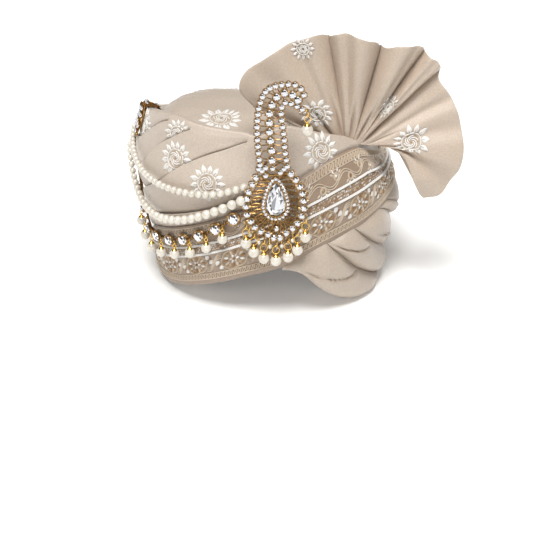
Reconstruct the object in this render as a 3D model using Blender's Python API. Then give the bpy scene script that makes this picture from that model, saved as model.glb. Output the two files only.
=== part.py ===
"""A groom's tied turban with its brooch, pearl strings and pleated fan, one object for each piece.

Metres, +Z up. The front faces -Y and +X is on the right of someone who looks at the front.
The turban rests on the surface at z = 0. Angles named turn run in degrees round the wall from
the front, to +X first.
"""

import math

import bmesh
import bpy
from mathutils import Matrix, Vector

MM = 0.001

# The wound wall, measured to its outer face
HALF_WIDTH = 112 * MM
HALF_DEPTH = 120 * MM
WALL_RISE = 150 * MM
HEAD_HALF_WIDTH = 77 * MM
HEAD_HALF_DEPTH = 93 * MM
HEAD_Y = 5 * MM
LIP_THICKNESS = 5 * MM
STATIONS = 48
WALL_ROWS = 9

# The crown, a cloth shell that is set into the top of the wall
CROWN_HALF_WIDTH = 96 * MM
CROWN_HALF_DEPTH = 99 * MM
CROWN_X = -5 * MM
CROWN_Y = 7 * MM
CROWN_RIM_Z = 88 * MM
CROWN_TOP_Z = 143 * MM
CROWN_CLOTH = 2.4 * MM
CROWN_FRONT_ROUNDNESS = 2.9
CROWN_BACK_ROUNDNESS = 2.3
CROWN_SIDE_ROUNDNESS = 5.0
CROWN_CORNERS = 36

# Cloth laid on the wall
SEAT = 1.6 * MM
GAP = 0.4 * MM
WRAP_THICK = 5.0 * MM
WRAP_THIN = 2.2 * MM
BAND_THICKNESS = 3.4 * MM
ROLL_THICKNESS = 12 * MM
ROLL_EDGE = 1.6 * MM
HEEL_SHARE = 0.45

# The fan, whose gathered foot stands on the lip of the wall
FAN_TURN = 56
FAN_X = 76 * MM
FAN_Y = -60 * MM
FAN_RADIUS = 117 * MM
FAN_FOLD = 13 * MM
FAN_CLOTH = 1.6 * MM
FAN_KNOT = 12 * MM
FAN_LEAN = 5.0
FAN_SEAT = 5.7 * MM

# The brooch, in a plane that stands before the wall
BROOCH_X = 7.5 * MM
BROOCH_Z = 113 * MM
BROOCH_CLEARANCE = -1.6 * MM
MEDALLION_HALF_WIDTH = 24 * MM
MEDALLION_UP = 32 * MM
MEDALLION_DOWN = 30 * MM
PEAR_HALF_WIDTH = 9 * MM
PEAR_UP = 19 * MM
PEAR_DOWN = 11 * MM
BROOCH_WIRE = 1.3 * MM
SPOKE_WIRE = 0.8 * MM
PLATE_GAP = 0.2 * MM
PLATE_THICKNESS = 2.4 * MM
STEM_HALF_WIDTH = 13.5 * MM
STEM_RISE = 110 * MM
CENTRE_STONES = 12
RING_STONES = 20
STONE_HEIGHT = 2.6 * MM
STONE_RADIUS = 2.4 * MM
DROP_PEARL = 4.7 * MM
DROP_LENGTH = 21 * MM
DROP_OUT = 4.9 * MM
CHAIN_DROP_OUT = 2.8 * MM
HOOK_DROP = 0.5 * MM
TIP_RING_DROP = 0.6 * MM
JUMP_RING = 1.7 * MM
RING_DROP = 1.0 * MM
RING_WIRE = 0.5 * MM
RING_CORNERS = 7

# The strings on the left
UPPER_PEARL = 3.1 * MM
LOWER_PEARL = 3.9 * MM
CHAIN_STONE = 4.6 * MM
CHAIN_PEARL = 4.3 * MM
CHAIN_WIRE = 1.0 * MM
CLASP_CLEARANCE = 0.6 * MM
CLASP_THICKNESS = 2.0 * MM
CLASP_RISE = 6.0 * MM
STRING_CLEARANCE = -0.1 * MM
TUBE_SIDE = Vector((0.05, 0.98, 0.19)).normalized()
FORWARD = Vector((0, -1, 0))

# The wall's outer face as shares of its half width and depth, at five heights
WALL_HEIGHTS = (0.0, 0.25, 0.5, 0.75, 1.0)
WALL_FORM = (
    # turn, foot, low, middle, high, top
    (-180, 0.90, 0.97, 1.00, 0.93, 0.84),
    (-130, 0.86, 0.92, 0.96, 0.96, 0.87),
    (-90, 0.84, 0.87, 0.925, 0.975, 0.89),
    (-45, 0.88, 0.93, 0.98, 0.99, 0.88),
    (0, 0.93, 0.96, 0.98, 0.95, 0.80),
    (45, 0.93, 0.95, 0.98, 0.95, 0.76),
    (90, 0.84, 0.89, 0.985, 0.84, 0.70),
    (130, 0.87, 0.95, 1.00, 0.92, 0.76),
)
# Heights below are shares of WALL_RISE
WALL_TOP = (
    # turn, height
    (-180, 0.71), (-130, 0.75), (-95, 0.93), (-56, 1.08), (-35, 1.08), (-12, 1.065),
    (-5, 1.045), (10, 1.085), (30, 1.02), (45, 0.96), (52, 0.915), (60, 0.865), (68, 0.83),
    (75, 0.79), (90, 0.73), (110, 0.70), (130, 0.70),
)
WALL_FOOT = (
    # turn, height
    (-180, 0.0), (-61, 0.0), (-45, 0.085), (-31, 0.16), (-18, 0.23), (-7, 0.285), (8, 0.33),
    (12, 0.335), (17, 0.285), (23, 0.20), (29, 0.125), (37, 0.06), (45, 0.015), (50, 0.0),
)
BAND = (
    # turn, lower edge, upper edge
    (-120, 0.015, 0.09), (-110, 0.015, 0.12), (-90, 0.015, 0.19), (-77, 0.015, 0.27),
    (-60, 0.02, 0.39), (-45, 0.075, 0.47), (-31, 0.15, 0.555), (-20, 0.21, 0.625),
    (-8, 0.275, 0.70), (8, 0.345, 0.79), (20, 0.415, 0.85), (34, 0.465, 0.89),
    (50, 0.495, 0.89), (60, 0.51, 0.845), (75, 0.52, 0.765), (90, 0.51, 0.705), (112.5, 0.43, 0.66),
)
# The creases between the wraps, from the back round the left to the front
CREASE_A = (
    (-247.5, 0.61), (-180, 0.60), (-140, 0.63), (-110, 0.70), (-90, 0.78), (-76, 0.855),
    (-67, 0.953), (-61, 1.01), (-52.5, 1.06),
)
CREASE_B = (
    (-247.5, 0.50), (-180, 0.45), (-140, 0.46), (-110, 0.52), (-90, 0.60), (-75, 0.69),
    (-65, 0.777), (-57, 0.90), (-47, 1.0), (-37.5, 1.06),
)
CREASE_C = (
    (-247.5, 0.35), (-180, 0.30), (-140, 0.30), (-110, 0.36), (-90, 0.45), (-75, 0.54),
    (-62, 0.64), (-51, 0.733), (-40, 0.853), (-25, 0.96), (-7.5, 1.03),
)
CREASE_D = (
    (-247.5, 0.20), (-180, 0.15), (-140, 0.15), (-110, 0.22), (-90, 0.32), (-75, 0.44),
    (-60, 0.54), (-35, 0.66), (-20, 0.72), (-7.5, 0.765),
)
# The creases between the rolls under the band, on the right
ROLL_FOOT = (
    (7.5, 0.32), (15, 0.285), (22.5, 0.18), (30, 0.095), (37.5, 0.04), (45, 0.012), (60, 0.012),
    (67.5, 0.045),
)
ROLL_1_2 = (
    (22.5, 0.40), (30, 0.375), (37.5, 0.28), (45, 0.19), (52.5, 0.125), (60, 0.09), (67.5, 0.08),
    (75, 0.12),
)
ROLL_2_3 = (
    (37.5, 0.445), (45, 0.42), (52.5, 0.35), (60, 0.29), (67.5, 0.25), (75, 0.23), (82.5, 0.27),
)
ROLL_3_4 = ((52.5, 0.475), (60, 0.455), (67.5, 0.42), (75, 0.39), (82.5, 0.37), (90, 0.41))
HEEL_TOP = (
    (67.5, 0.03), (75, 0.09), (82.5, 0.24), (90, 0.385), (97.5, 0.455), (105, 0.43), (112.5, 0.40),
)
HEEL_FOOT = 0.012

FAN = (
    # angle in the fan's plane, reach as a share of FAN_RADIUS, fold as a share of FAN_FOLD
    (-39, 0.66, 0.3), (-32, 0.73, 0.9), (-22, 0.75, 0.5), (-12, 0.775, -0.3), (0, 0.785, 0.1),
    (10, 0.78, 0.7), (20, 0.785, 0.9), (32, 0.78, 0.4), (41, 0.775, -0.6), (45, 0.80, -0.9),
    (47, 0.86, 0.5), (51, 0.88, 0.9), (55, 0.86, -0.8), (58, 0.90, 0.5), (64, 0.875, 0.9),
    (71, 0.84, 0.3), (76, 0.77, -1.0), (79, 0.80, 0.4), (85, 0.825, 0.9), (91, 0.86, 0.0),
    (95, 0.885, 0.7), (101, 0.875, 0.2), (104, 0.865, -1.0), (107, 0.90, 0.6), (113, 0.92, 0.8),
    (118, 0.93, -0.2), (125, 0.955, 0.6), (135, 0.965, 0.9), (143, 1.0, 0.7), (149, 0.985, 0.4),
    (153, 0.93, 0.3), (157, 0.80, 0.5),
)
FAN_SHARES = (0.03, 0.22, 0.48, 0.74, 0.93, 1.0)

# Routes of the strings, as turn and height
UPPER_STRING = (
    (-83.5, 0.83), (-79, 0.805), (-73, 0.78), (-67, 0.755), (-60, 0.74), (-52, 0.733),
    (-44, 0.735), (-36, 0.745), (-28, 0.76), (-20, 0.785), (-14, 0.81),
)
LOWER_STRING = (
    (-84, 0.775), (-80.5, 0.66), (-73, 0.59), (-66, 0.55), (-58, 0.538), (-50, 0.538),
    (-42, 0.56), (-34, 0.60), (-26, 0.655), (-18, 0.71), (-13, 0.75),
)
STONE_CHAIN = (
    (-85, 0.62), (-80, 0.48), (-73, 0.38), (-65, 0.345), (-54, 0.37), (-44, 0.41), (-36, 0.455),
    (-28, 0.505), (-21, 0.57), (-14, 0.64),
)
CHAIN_STONE_TURNS = (-65, -54, -44.5, -36, -28, -20.8, -14.2)
CHAIN_DROP_TURNS = (-76, -70, -59.5, -49.5, -40.3, -32, -24.4, -17.5)

# The three columns of the brooch's stem, as shares of STEM_HALF_WIDTH across and STEM_RISE up
STEM_LEFT = (
    (-0.93, 0.36), (-0.98, 0.50), (-1.0, 0.66), (-0.94, 0.79), (-0.78, 0.88), (-0.35, 0.95),
    (0.15, 0.99), (0.68, 1.0), (1.25, 0.985), (1.8, 0.92),
)
STEM_CENTRE = (
    (-0.2, 0.35), (-0.22, 0.50), (-0.3, 0.66), (-0.2, 0.80), (0.12, 0.88), (0.62, 0.92),
    (1.1, 0.91), (1.38, 0.88),
)
STEM_RIGHT = (
    (0.62, 0.36), (0.62, 0.50), (0.5, 0.66), (0.42, 0.78), (0.6, 0.85), (1.05, 0.85), (1.6, 0.81),
    (1.88, 0.77),
)
STEM_RUNGS = (0.02, 0.12, 0.22, 0.32, 0.42, 0.52)
STEM_FEET = (-0.55, 0.0, 0.55)
# Where the drops hang, as shares of the medallion's half width and of its depth below centre
DROP_HOOKS = (
    (-1.01, -0.56), (-0.74, -0.84), (-0.39, -1.035), (0.03, -1.11), (0.45, -0.99), (0.78, -0.77),
    (1.05, -0.37),
)


def clear_scene():
    for old in list(bpy.data.objects):
        bpy.data.objects.remove(old, do_unlink=True)


def smooth_value(table, turn, column=1, closed=False):
    """A value of a table's column at a turn, on a smooth curve through its rows."""
    turns = [row[0] for row in table]
    values = [row[column] for row in table]
    if closed:
        turn = (turn - turns[0]) % 360 + turns[0]
        turns = [turns[-1] - 360] + turns + [turns[0] + 360, turns[1] + 360]
        values = [values[-1]] + values + [values[0], values[1]]
    else:
        turn = min(max(turn, turns[0]), turns[-1])
        turns = [2 * turns[0] - turns[1]] + turns + [2 * turns[-1] - turns[-2]]
        values = [values[0]] + values + [values[-1]]
    at = next(i for i in range(1, len(turns) - 2) if turn <= turns[i + 1])
    span = turns[at + 1] - turns[at]
    share = (turn - turns[at]) / span
    slope_in = (values[at + 1] - values[at - 1]) / (turns[at + 1] - turns[at - 1]) * span
    slope_out = (values[at + 2] - values[at]) / (turns[at + 2] - turns[at]) * span
    square, cube = share**2, share**3
    return (
        (2 * cube - 3 * square + 1) * values[at]
        + (cube - 2 * square + share) * slope_in
        + (3 * square - 2 * cube) * values[at + 1]
        + (cube - square) * slope_out
    )


def wall_face(turn, height):
    """A point on the wall's outer face; height is a share of WALL_RISE."""
    profile = [
        (at, smooth_value(WALL_FORM, turn, column + 1, closed=True))
        for column, at in enumerate(WALL_HEIGHTS)
    ]
    share = smooth_value(profile, min(height, 1.0))
    if height > 1:
        share += (profile[-1][1] - profile[-2][1]) * (height - 1) / (WALL_HEIGHTS[-1] - WALL_HEIGHTS[-2])
    angle = math.radians(turn)
    return Vector((
        math.sin(angle) * HALF_WIDTH * share,
        -math.cos(angle) * HALF_DEPTH * share,
        height * WALL_RISE,
    ))


def wall_point(turn, height, out=0.0):
    """A point out metres off the wall's outer face, square to it."""
    across = wall_face(turn + 1, height) - wall_face(turn - 1, height)
    up = wall_face(turn, height + 0.02) - wall_face(turn, height - 0.02)
    return wall_face(turn, height) + across.cross(up).normalized() * out


def crown_point(turn, share, inset=0.0):
    """A point on the crown; share runs from 0 at the apex to 1 at the rim."""
    angle = math.radians(turn)
    roundness = CROWN_FRONT_ROUNDNESS if math.cos(angle) > 0 else CROWN_BACK_ROUNDNESS
    roundness += (CROWN_SIDE_ROUNDNESS - roundness) * math.sin(angle) ** 2
    rise = (1 - share**roundness) ** (1 / roundness)
    return Vector((
        CROWN_X + math.sin(angle) * (CROWN_HALF_WIDTH - inset) * share,
        CROWN_Y - math.cos(angle) * (CROWN_HALF_DEPTH - inset) * share,
        CROWN_RIM_Z + (CROWN_TOP_Z - CROWN_RIM_Z - inset) * rise,
    ))


def new_material(name, colour, roughness, metallic=0.0):
    material = bpy.data.materials.new(name)
    material.use_nodes = True
    shader = material.node_tree.nodes["Principled BSDF"]
    shader.inputs["Base Color"].default_value = (*colour, 1)
    shader.inputs["Roughness"].default_value = roughness
    shader.inputs["Metallic"].default_value = metallic
    return material


CLOTH = ((0.61, 0.51, 0.42), 0.6, 0.0)
TRIM = ((0.62, 0.49, 0.33), 0.55, 0.0)
GOLD = ((0.62, 0.42, 0.16), 0.3, 1.0)
PEARL = ((0.88, 0.84, 0.75), 0.2, 0.0)
CRYSTAL = ((0.85, 0.87, 0.9), 0.05, 0.0)


def add_part(name, mesh, look):
    """Put a mesh into the turban's collection as one part with a material of its own."""
    part = bpy.data.objects.new(name, mesh)
    turban.objects.link(part)
    mesh.materials.clear()
    mesh.materials.append(new_material(name, *look))
    mesh.shade_smooth()
    mesh.set_sharp_from_angle(angle=math.radians(40))
    return part


def mesh_from(name, bm):
    bmesh.ops.recalc_face_normals(bm, faces=bm.faces)
    mesh = bpy.data.meshes.new(name)
    bm.to_mesh(mesh)
    bm.free()
    return mesh


def loft_slab(name, outer, inner):
    """A closed slab between two grids of points with the same rows and columns."""
    bm = bmesh.new()
    front = [[bm.verts.new(point) for point in line] for line in outer]
    back = [[bm.verts.new(point) for point in line] for line in inner]
    last_line, last_point = len(outer) - 1, len(outer[0]) - 1
    for grid in (front, back):
        for i in range(last_line):
            for j in range(last_point):
                bm.faces.new((grid[i][j], grid[i + 1][j], grid[i + 1][j + 1], grid[i][j + 1]))
    for i in range(last_line):
        for j in (0, last_point):
            bm.faces.new((front[i][j], front[i + 1][j], back[i + 1][j], back[i][j]))
    for j in range(last_point):
        for i in (0, last_line):
            bm.faces.new((front[i][j], front[i][j + 1], back[i][j + 1], back[i][j]))
    return mesh_from(name, bm)


def loft_ring(name, sections):
    """A closed ring through closed sections of the same number of points."""
    bm = bmesh.new()
    rings = [[bm.verts.new(point) for point in section] for section in sections]
    for ring, following in zip(rings, rings[1:] + rings[:1]):
        for j in range(len(ring)):
            k = (j + 1) % len(ring)
            bm.faces.new((ring[j], following[j], following[k], ring[k]))
    return mesh_from(name, bm)


def wound_wall():
    sections = []
    for i in range(STATIONS):
        turn = -180 + i * 360 / STATIONS
        angle = math.radians(turn)
        foot = smooth_value(WALL_FOOT, turn, closed=True)
        foot = foot if foot > 0.006 else 0.0
        top = smooth_value(WALL_TOP, turn, closed=True)
        heights = [foot + (top - foot) * j / (WALL_ROWS - 1) for j in range(WALL_ROWS)]
        section = [wall_point(turn, height) for height in heights]
        lip = wall_point(turn, top - 0.02, -LIP_THICKNESS)
        seat = crown_point(turn, 1.0, -GAP)
        seat_top = min(0.80 * WALL_RISE, top * WALL_RISE - 5 * MM)
        head_x = math.sin(angle) * HEAD_HALF_WIDTH
        head_y = HEAD_Y - math.cos(angle) * HEAD_HALF_DEPTH
        section += [
            lip,
            Vector((seat.x, seat.y, seat_top)),
            Vector((seat.x, seat.y, CROWN_RIM_Z - GAP)),
            Vector((head_x, head_y, CROWN_RIM_Z - GAP)),
            Vector((head_x, head_y, foot * WALL_RISE)),
        ]
        sections.append(section)
    return add_part("wound_wall", loft_ring("wound_wall", sections), CLOTH)


def crown():
    shares = [1.0, 0.985, 0.95, 0.88, 0.76, 0.6, 0.4, 0.2]
    bm = bmesh.new()
    skins = []
    for inset in (0.0, CROWN_CLOTH):
        rings = [
            [bm.verts.new(crown_point(i * 360 / CROWN_CORNERS, share, inset)) for i in range(CROWN_CORNERS)]
            for share in shares
        ]
        apex = bm.verts.new(crown_point(0, 0.0, inset))
        for ring, following in zip(rings, rings[1:]):
            for i in range(CROWN_CORNERS):
                k = (i + 1) % CROWN_CORNERS
                bm.faces.new((ring[i], ring[k], following[k], following[i]))
        for i in range(CROWN_CORNERS):
            bm.faces.new((rings[-1][i], rings[-1][(i + 1) % CROWN_CORNERS], apex))
        skins.append(rings[0])
    for i in range(CROWN_CORNERS):
        k = (i + 1) % CROWN_CORNERS
        bm.faces.new((skins[0][i], skins[0][k], skins[1][k], skins[1][i]))
    return add_part("crown", mesh_from("crown", bm), CLOTH)


def wall_pad(name, start, end, low, high, thickness, rows, look):
    """Cloth laid on the wall between two edges, thickness metres at (along, across) shares."""
    step = 360 / STATIONS
    count = round((end - start) / step)
    inset = 0.2
    turns = [start + inset] + [start + i * step for i in range(1, count)] + [end - inset]
    half_gap = GAP / 2 / WALL_RISE
    outer, inner = [], []
    for i, turn in enumerate(turns):
        foot, top = low(turn) + half_gap, high(turn) - half_gap
        heights = [foot + (top - foot) * j / rows for j in range(rows + 1)]
        inner.append([wall_point(turn, height, SEAT) for height in heights])
        outer.append([
            wall_point(turn, height, SEAT + thickness(i / count, j / rows))
            for j, height in enumerate(heights)
        ])
    return add_part(name, loft_slab(name, outer, inner), look)


def edge(table, column=1, closed=False):
    return lambda turn: smooth_value(table, turn, column, closed)


def wall_top(turn):
    return smooth_value(WALL_TOP, turn, closed=True)


def wraps():
    def thickness(along, across):
        return WRAP_THIN + (WRAP_THICK - WRAP_THIN) * across

    crease_a, crease_b, crease_c, crease_d = map(edge, (CREASE_A, CREASE_B, CREASE_C, CREASE_D))
    band_top = edge(BAND, 2)

    def below(first, switch, other):
        return lambda turn: first(turn) if turn <= switch else other(turn)

    low_edge = below(lambda turn: HEEL_FOOT, -121, band_top)
    wall_pad("wrap_1", -247.5, -52.5, crease_a, wall_top, thickness, 2, CLOTH)
    wall_pad("wrap_2", -247.5, -37.5, crease_b, below(crease_a, -52.5, wall_top), thickness, 2, CLOTH)
    wall_pad("wrap_3", -247.5, -7.5, crease_c, below(crease_b, -37.5, wall_top), thickness, 2, CLOTH)
    wall_pad(
        "wrap_4", -247.5, 52.5, below(crease_d, -7.5, band_top), below(crease_c, -7.5, wall_top),
        thickness, 2, CLOTH,
    )
    wall_pad("wrap_5", -247.5, -7.5, low_edge, crease_d, thickness, 2, CLOTH)


def trim_band():
    def thickness(along, across):
        return BAND_THICKNESS

    return wall_pad("trim_band", -120, 112.5, edge(BAND, 1), edge(BAND, 2), thickness, 4, TRIM)


def rolls():
    def pillow(along, across):
        swell = max(0.0, 1 - abs(2 * across - 1) ** 2.2) ** 0.6
        ends = max(0.0, 1 - abs(2 * along - 1) ** 5) ** 0.5
        return ROLL_EDGE + (ROLL_THICKNESS - ROLL_EDGE) * swell * (0.25 + 0.75 * ends)

    def heel(along, across):
        return pillow(along, across) * HEEL_SHARE

    band_foot = edge(BAND, 1)

    def under(table, switch):
        def height(turn):
            return band_foot(turn) if turn < switch else min(band_foot(turn), smooth_value(table, turn))

        return height

    wall_pad("side_roll_1", 7.5, 67.5, edge(ROLL_FOOT), under(ROLL_1_2, 22), pillow, 6, CLOTH)
    wall_pad("side_roll_2", 22.5, 75, edge(ROLL_1_2), under(ROLL_2_3, 37), pillow, 6, CLOTH)
    wall_pad("side_roll_3", 37.5, 82.5, edge(ROLL_2_3), under(ROLL_3_4, 52), pillow, 6, CLOTH)
    wall_pad("side_roll_4", 52.5, 90, edge(ROLL_3_4), band_foot, pillow, 4, CLOTH)
    wall_pad("side_roll_5", 67.5, 112.5, lambda turn: HEEL_FOOT, edge(HEEL_TOP), heel, 3, CLOTH)


def fan():
    """The pleated fan: a sheet over its own upright plane, gathered to a knot at its foot."""
    knot_drop = -math.sin(math.radians(FAN[0][0])) * FAN_SHARES[0] * FAN_RADIUS
    foot = Vector((FAN_X, FAN_Y, wall_top(FAN_TURN) * WALL_RISE + knot_drop + FAN_SEAT))
    lean = Matrix.Rotation(math.radians(-FAN_LEAN), 3, "X")
    grids = []
    for side in (-1, 1):
        grid = []
        for angle, reach, fold in FAN:
            line = []
            for share in FAN_SHARES:
                radius = share * (reach * FAN_RADIUS if share > 0.1 else FAN_RADIUS)
                gather = max(0.0, 1 - (share - FAN_SHARES[0]) / 0.3)
                half = (FAN_CLOTH + (FAN_KNOT - FAN_CLOTH) * gather**1.5) / 2
                depth = -fold * FAN_FOLD * share**0.8 * (1 - gather) + side * half
                flat = Vector((
                    math.cos(math.radians(angle)) * radius,
                    depth,
                    math.sin(math.radians(angle)) * radius,
                ))
                line.append(foot + lean @ flat)
            grid.append(line)
        grids.append(grid)
    return add_part("fan", loft_slab("fan", *grids), CLOTH)


def tube(route, radius, sides, closed=False, square_to=TUBE_SIDE):
    """A wire of round section along a route, as a bmesh; radius is one value or one per point."""
    bm = bmesh.new()
    count = len(route)
    radii = radius if isinstance(radius, list) else [radius] * count
    rings = []
    for i, point in enumerate(route):
        before = route[i - 1] if closed or i else point
        after = route[(i + 1) % count] if closed or i < count - 1 else point
        along = (after - before).normalized()
        across = along.cross(square_to).normalized()
        up = across.cross(along)
        rings.append([
            bm.verts.new(
                point
                + across * math.cos(2 * math.pi * j / sides) * radii[i]
                + up * math.sin(2 * math.pi * j / sides) * radii[i]
            )
            for j in range(sides)
        ])
    pairs = list(zip(rings, rings[1:] + rings[:1])) if closed else list(zip(rings, rings[1:]))
    for ring, following in pairs:
        for j in range(sides):
            k = (j + 1) % sides
            bm.faces.new((ring[j], ring[k], following[k], following[j]))
    if not closed:
        bm.faces.new(rings[0])
        bm.faces.new(rings[-1])
    return bm


def cut_stone(place, radius, height, long=1.0, turn=0.0, face=None):
    """An eight-sided stone with a table, on a short collet; its long side may be turned."""
    bm = bmesh.new()
    bmesh.ops.create_cone(
        bm, cap_ends=True, segments=8, radius1=radius, radius2=radius * 0.55, depth=height,
    )
    spin = Matrix.Rotation(math.radians(turn), 4, "Z") @ Matrix.Diagonal((long, 1, 1, 1))
    facing = (face or Vector((0, -1, 0))).to_track_quat("Z", "Y").to_matrix().to_4x4()
    bm.transform(Matrix.Translation(place) @ facing @ spin @ Matrix.Translation((0, 0, height / 2)))
    return bm


def pear_outline(half_width, up, down, count):
    """Points round a pear with its tip upwards, from its right side, as (across, up)."""
    points = []
    for i in range(count):
        angle = 2 * math.pi * i / count
        across, rise = math.cos(angle), math.sin(angle)
        if rise > 0:
            points.append((half_width * across * (1 - 0.38 * rise), up * rise))
        else:
            points.append((half_width * across, down * rise))
    return points


def fused(name, pieces, look):
    """One solid from overlapping closed pieces; the first carries a union with all the others."""
    part = add_part(name, mesh_from(name, pieces[0]), look)
    group = bpy.data.collections.new(name + "_pieces")
    cutters.children.link(group)
    for i, piece in enumerate(pieces[1:]):
        operand = bpy.data.objects.new(f"{name}_piece_{i + 1}", mesh_from(name, piece))
        group.objects.link(operand)
        operand.display_type = "WIRE"
        operand.hide_render = True
    union = part.modifiers.new("union", "BOOLEAN")
    union.operation = "UNION"
    union.solver = "EXACT"
    union.operand_type = "COLLECTION"
    union.collection = group
    return part


def brooch_back():
    """How far forward the brooch's back lies: just before the cloth under it."""
    faces = [
        wall_point(turn, height, SEAT + WRAP_THICK).y
        for turn in (-3, 4, 10)
        for height in (0.55, 0.65, 0.75, 0.85)
    ]
    return min(faces) - BROOCH_CLEARANCE


def brooch_point(across, up, out=0.0):
    return Vector((BROOCH_X + across, brooch_back() - out, BROOCH_Z + up))


def brooch():
    """The kalgi: a stone-set pear frame round the centre stone's plate, under a curled stem."""
    frame_depth = BROOCH_WIRE
    frame = [
        brooch_point(across, up, frame_depth)
        for across, up in pear_outline(MEDALLION_HALF_WIDTH, MEDALLION_UP, MEDALLION_DOWN, 22)
    ]
    pieces = [tube(frame, BROOCH_WIRE, 5, closed=True)]
    plate = pear_outline(PEAR_HALF_WIDTH * 1.35, PEAR_UP * 1.15, PEAR_DOWN * 1.45, RING_STONES)
    pieces.append(plate_between(plate, PLATE_GAP, PLATE_GAP + PLATE_THICKNESS))
    ring = pear_outline(MEDALLION_HALF_WIDTH, MEDALLION_UP, MEDALLION_DOWN, RING_STONES)
    halo = pear_outline(PEAR_HALF_WIDTH, PEAR_UP, PEAR_DOWN, RING_STONES)
    for inner, outer in list(zip(halo, ring))[::2]:
        route = [brooch_point(*inner, frame_depth), brooch_point(*outer, frame_depth)]
        pieces.append(tube(route, SPOKE_WIRE, 4))
    for across, up in ring:
        turn = math.degrees(math.atan2(up, across))
        place = brooch_point(across, up, frame_depth)
        pieces.append(cut_stone(place, STONE_RADIUS, STONE_HEIGHT, 1.25, turn))
    for column in (STEM_LEFT, STEM_CENTRE, STEM_RIGHT):
        route = [
            brooch_point(across * STEM_HALF_WIDTH, up * STEM_RISE, frame_depth)
            for across, up in smooth_route(column, 10)
        ]
        pieces.append(tube(route, BROOCH_WIRE, 4))
    for across, up in smooth_route(STEM_CENTRE, CENTRE_STONES):
        place = brooch_point(across * STEM_HALF_WIDTH, up * STEM_RISE, frame_depth)
        pieces.append(cut_stone(place, STONE_RADIUS, STONE_HEIGHT))
    for share in STEM_RUNGS:
        ends = [smooth_route(column, 51)[round(share * 50)] for column in (STEM_LEFT, STEM_RIGHT)]
        route = [
            brooch_point(across * STEM_HALF_WIDTH, up * STEM_RISE, frame_depth)
            for across, up in ends
        ]
        pieces.append(tube(route, SPOKE_WIRE, 4))
    for side in STEM_FEET:
        route = [
            brooch_point(side * STEM_HALF_WIDTH, MEDALLION_UP * 0.85, frame_depth),
            brooch_point(side * 1.4 * STEM_HALF_WIDTH, STEM_RISE * 0.37, frame_depth),
        ]
        pieces.append(tube(route, BROOCH_WIRE, 5))
    return fused("kalgi_brooch", pieces, GOLD)


def plate_between(outline, back, front):
    """A flat plate of the brooch between two depths."""
    bm = bmesh.new()
    rings = [
        [bm.verts.new(brooch_point(across, up, out)) for across, up in outline]
        for out in (back, front)
    ]
    bm.faces.new(rings[0])
    bm.faces.new(rings[1])
    for i in range(len(outline)):
        k = (i + 1) % len(outline)
        bm.faces.new((rings[0][i], rings[0][k], rings[1][k], rings[1][i]))
    return bm


def smooth_route(points, count):
    """Evenly numbered points on a smooth curve through a route's own points."""
    rows = [(i, *point) for i, point in enumerate(points)]
    last = len(points) - 1
    return [
        tuple(smooth_value(rows, last * i / (count - 1), column + 1) for column in range(len(points[0])))
        for i in range(count)
    ]


def centre_stone():
    """The pear-cut stone, with a girdle, a table and a row of crown facets."""
    base = PLATE_GAP + PLATE_THICKNESS + 0.3 * MM
    levels = ((0.75, 0.0), (1.0, 1.4 * MM), (0.62, 3.2 * MM))
    outline = pear_outline(PEAR_HALF_WIDTH, PEAR_UP, PEAR_DOWN, 14)
    bm = bmesh.new()
    rings = [
        [bm.verts.new(brooch_point(across * size, up * size, base + out)) for across, up in outline]
        for size, out in levels
    ]
    bm.faces.new(rings[0])
    bm.faces.new(rings[-1])
    for ring, following in zip(rings, rings[1:]):
        for i in range(len(outline)):
            k = (i + 1) % len(outline)
            bm.faces.new((ring[i], ring[k], following[k], following[i]))
    return add_part("centre_stone", mesh_from("centre_stone", bm), CRYSTAL)


def pearl_drop(name, hook, length, pearl, outward):
    """A pearl under a gold cap and a jump ring, hanging straight down from hook."""
    beads = bmesh.new()
    cap = pearl * 0.75
    profile = (
        (0.0, -length - pearl), (0.72 * pearl, -length - 0.7 * pearl), (pearl, -length),
        (0.7 * pearl, -length + 0.72 * pearl), (0.6 * cap, -length + 1.3 * pearl), (0.25 * cap, -2.4 * MM),
    )
    sides = 10
    rings = []
    for radius, z in profile[1:]:
        rings.append([
            beads.verts.new(hook + Vector((
                radius * math.cos(2 * math.pi * j / sides), radius * math.sin(2 * math.pi * j / sides), z,
            )))
            for j in range(sides)
        ])
    bottom = beads.verts.new(hook + Vector((0, 0, profile[0][1])))
    for j in range(sides):
        beads.faces.new((bottom, rings[0][(j + 1) % sides], rings[0][j]))
    for ring, following in zip(rings, rings[1:]):
        for j in range(sides):
            k = (j + 1) % sides
            beads.faces.new((ring[j], ring[k], following[k], following[j]))
    beads.faces.new(rings[-1])
    corners = [2 * math.pi * j / RING_CORNERS for j in range(RING_CORNERS)]
    ring_side = outward.cross(Vector((0, 0, 1)))
    circle = [
        hook + outward * math.cos(angle) * JUMP_RING
        + Vector((0, 0, math.sin(angle) * JUMP_RING - RING_DROP))
        for angle in corners
    ]
    return fused(name, [beads, tube(circle, RING_WIRE, 4, closed=True, square_to=ring_side)], PEARL)


def brooch_drops():
    for i, (across, up) in enumerate(DROP_HOOKS):
        hook = brooch_point(across * MEDALLION_HALF_WIDTH, up * MEDALLION_DOWN - HOOK_DROP, DROP_OUT)
        pearl_drop(f"kalgi_drop_{i + 1}", hook, DROP_LENGTH - 6 * MM, DROP_PEARL, FORWARD)
    tip = STEM_RIGHT[-1]
    hook = brooch_point((tip[0] + 0.04) * STEM_HALF_WIDTH, tip[1] * STEM_RISE - TIP_RING_DROP, DROP_OUT)
    pearl_drop("tip_drop", hook, DROP_LENGTH - 4 * MM, DROP_PEARL, FORWARD)


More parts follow.
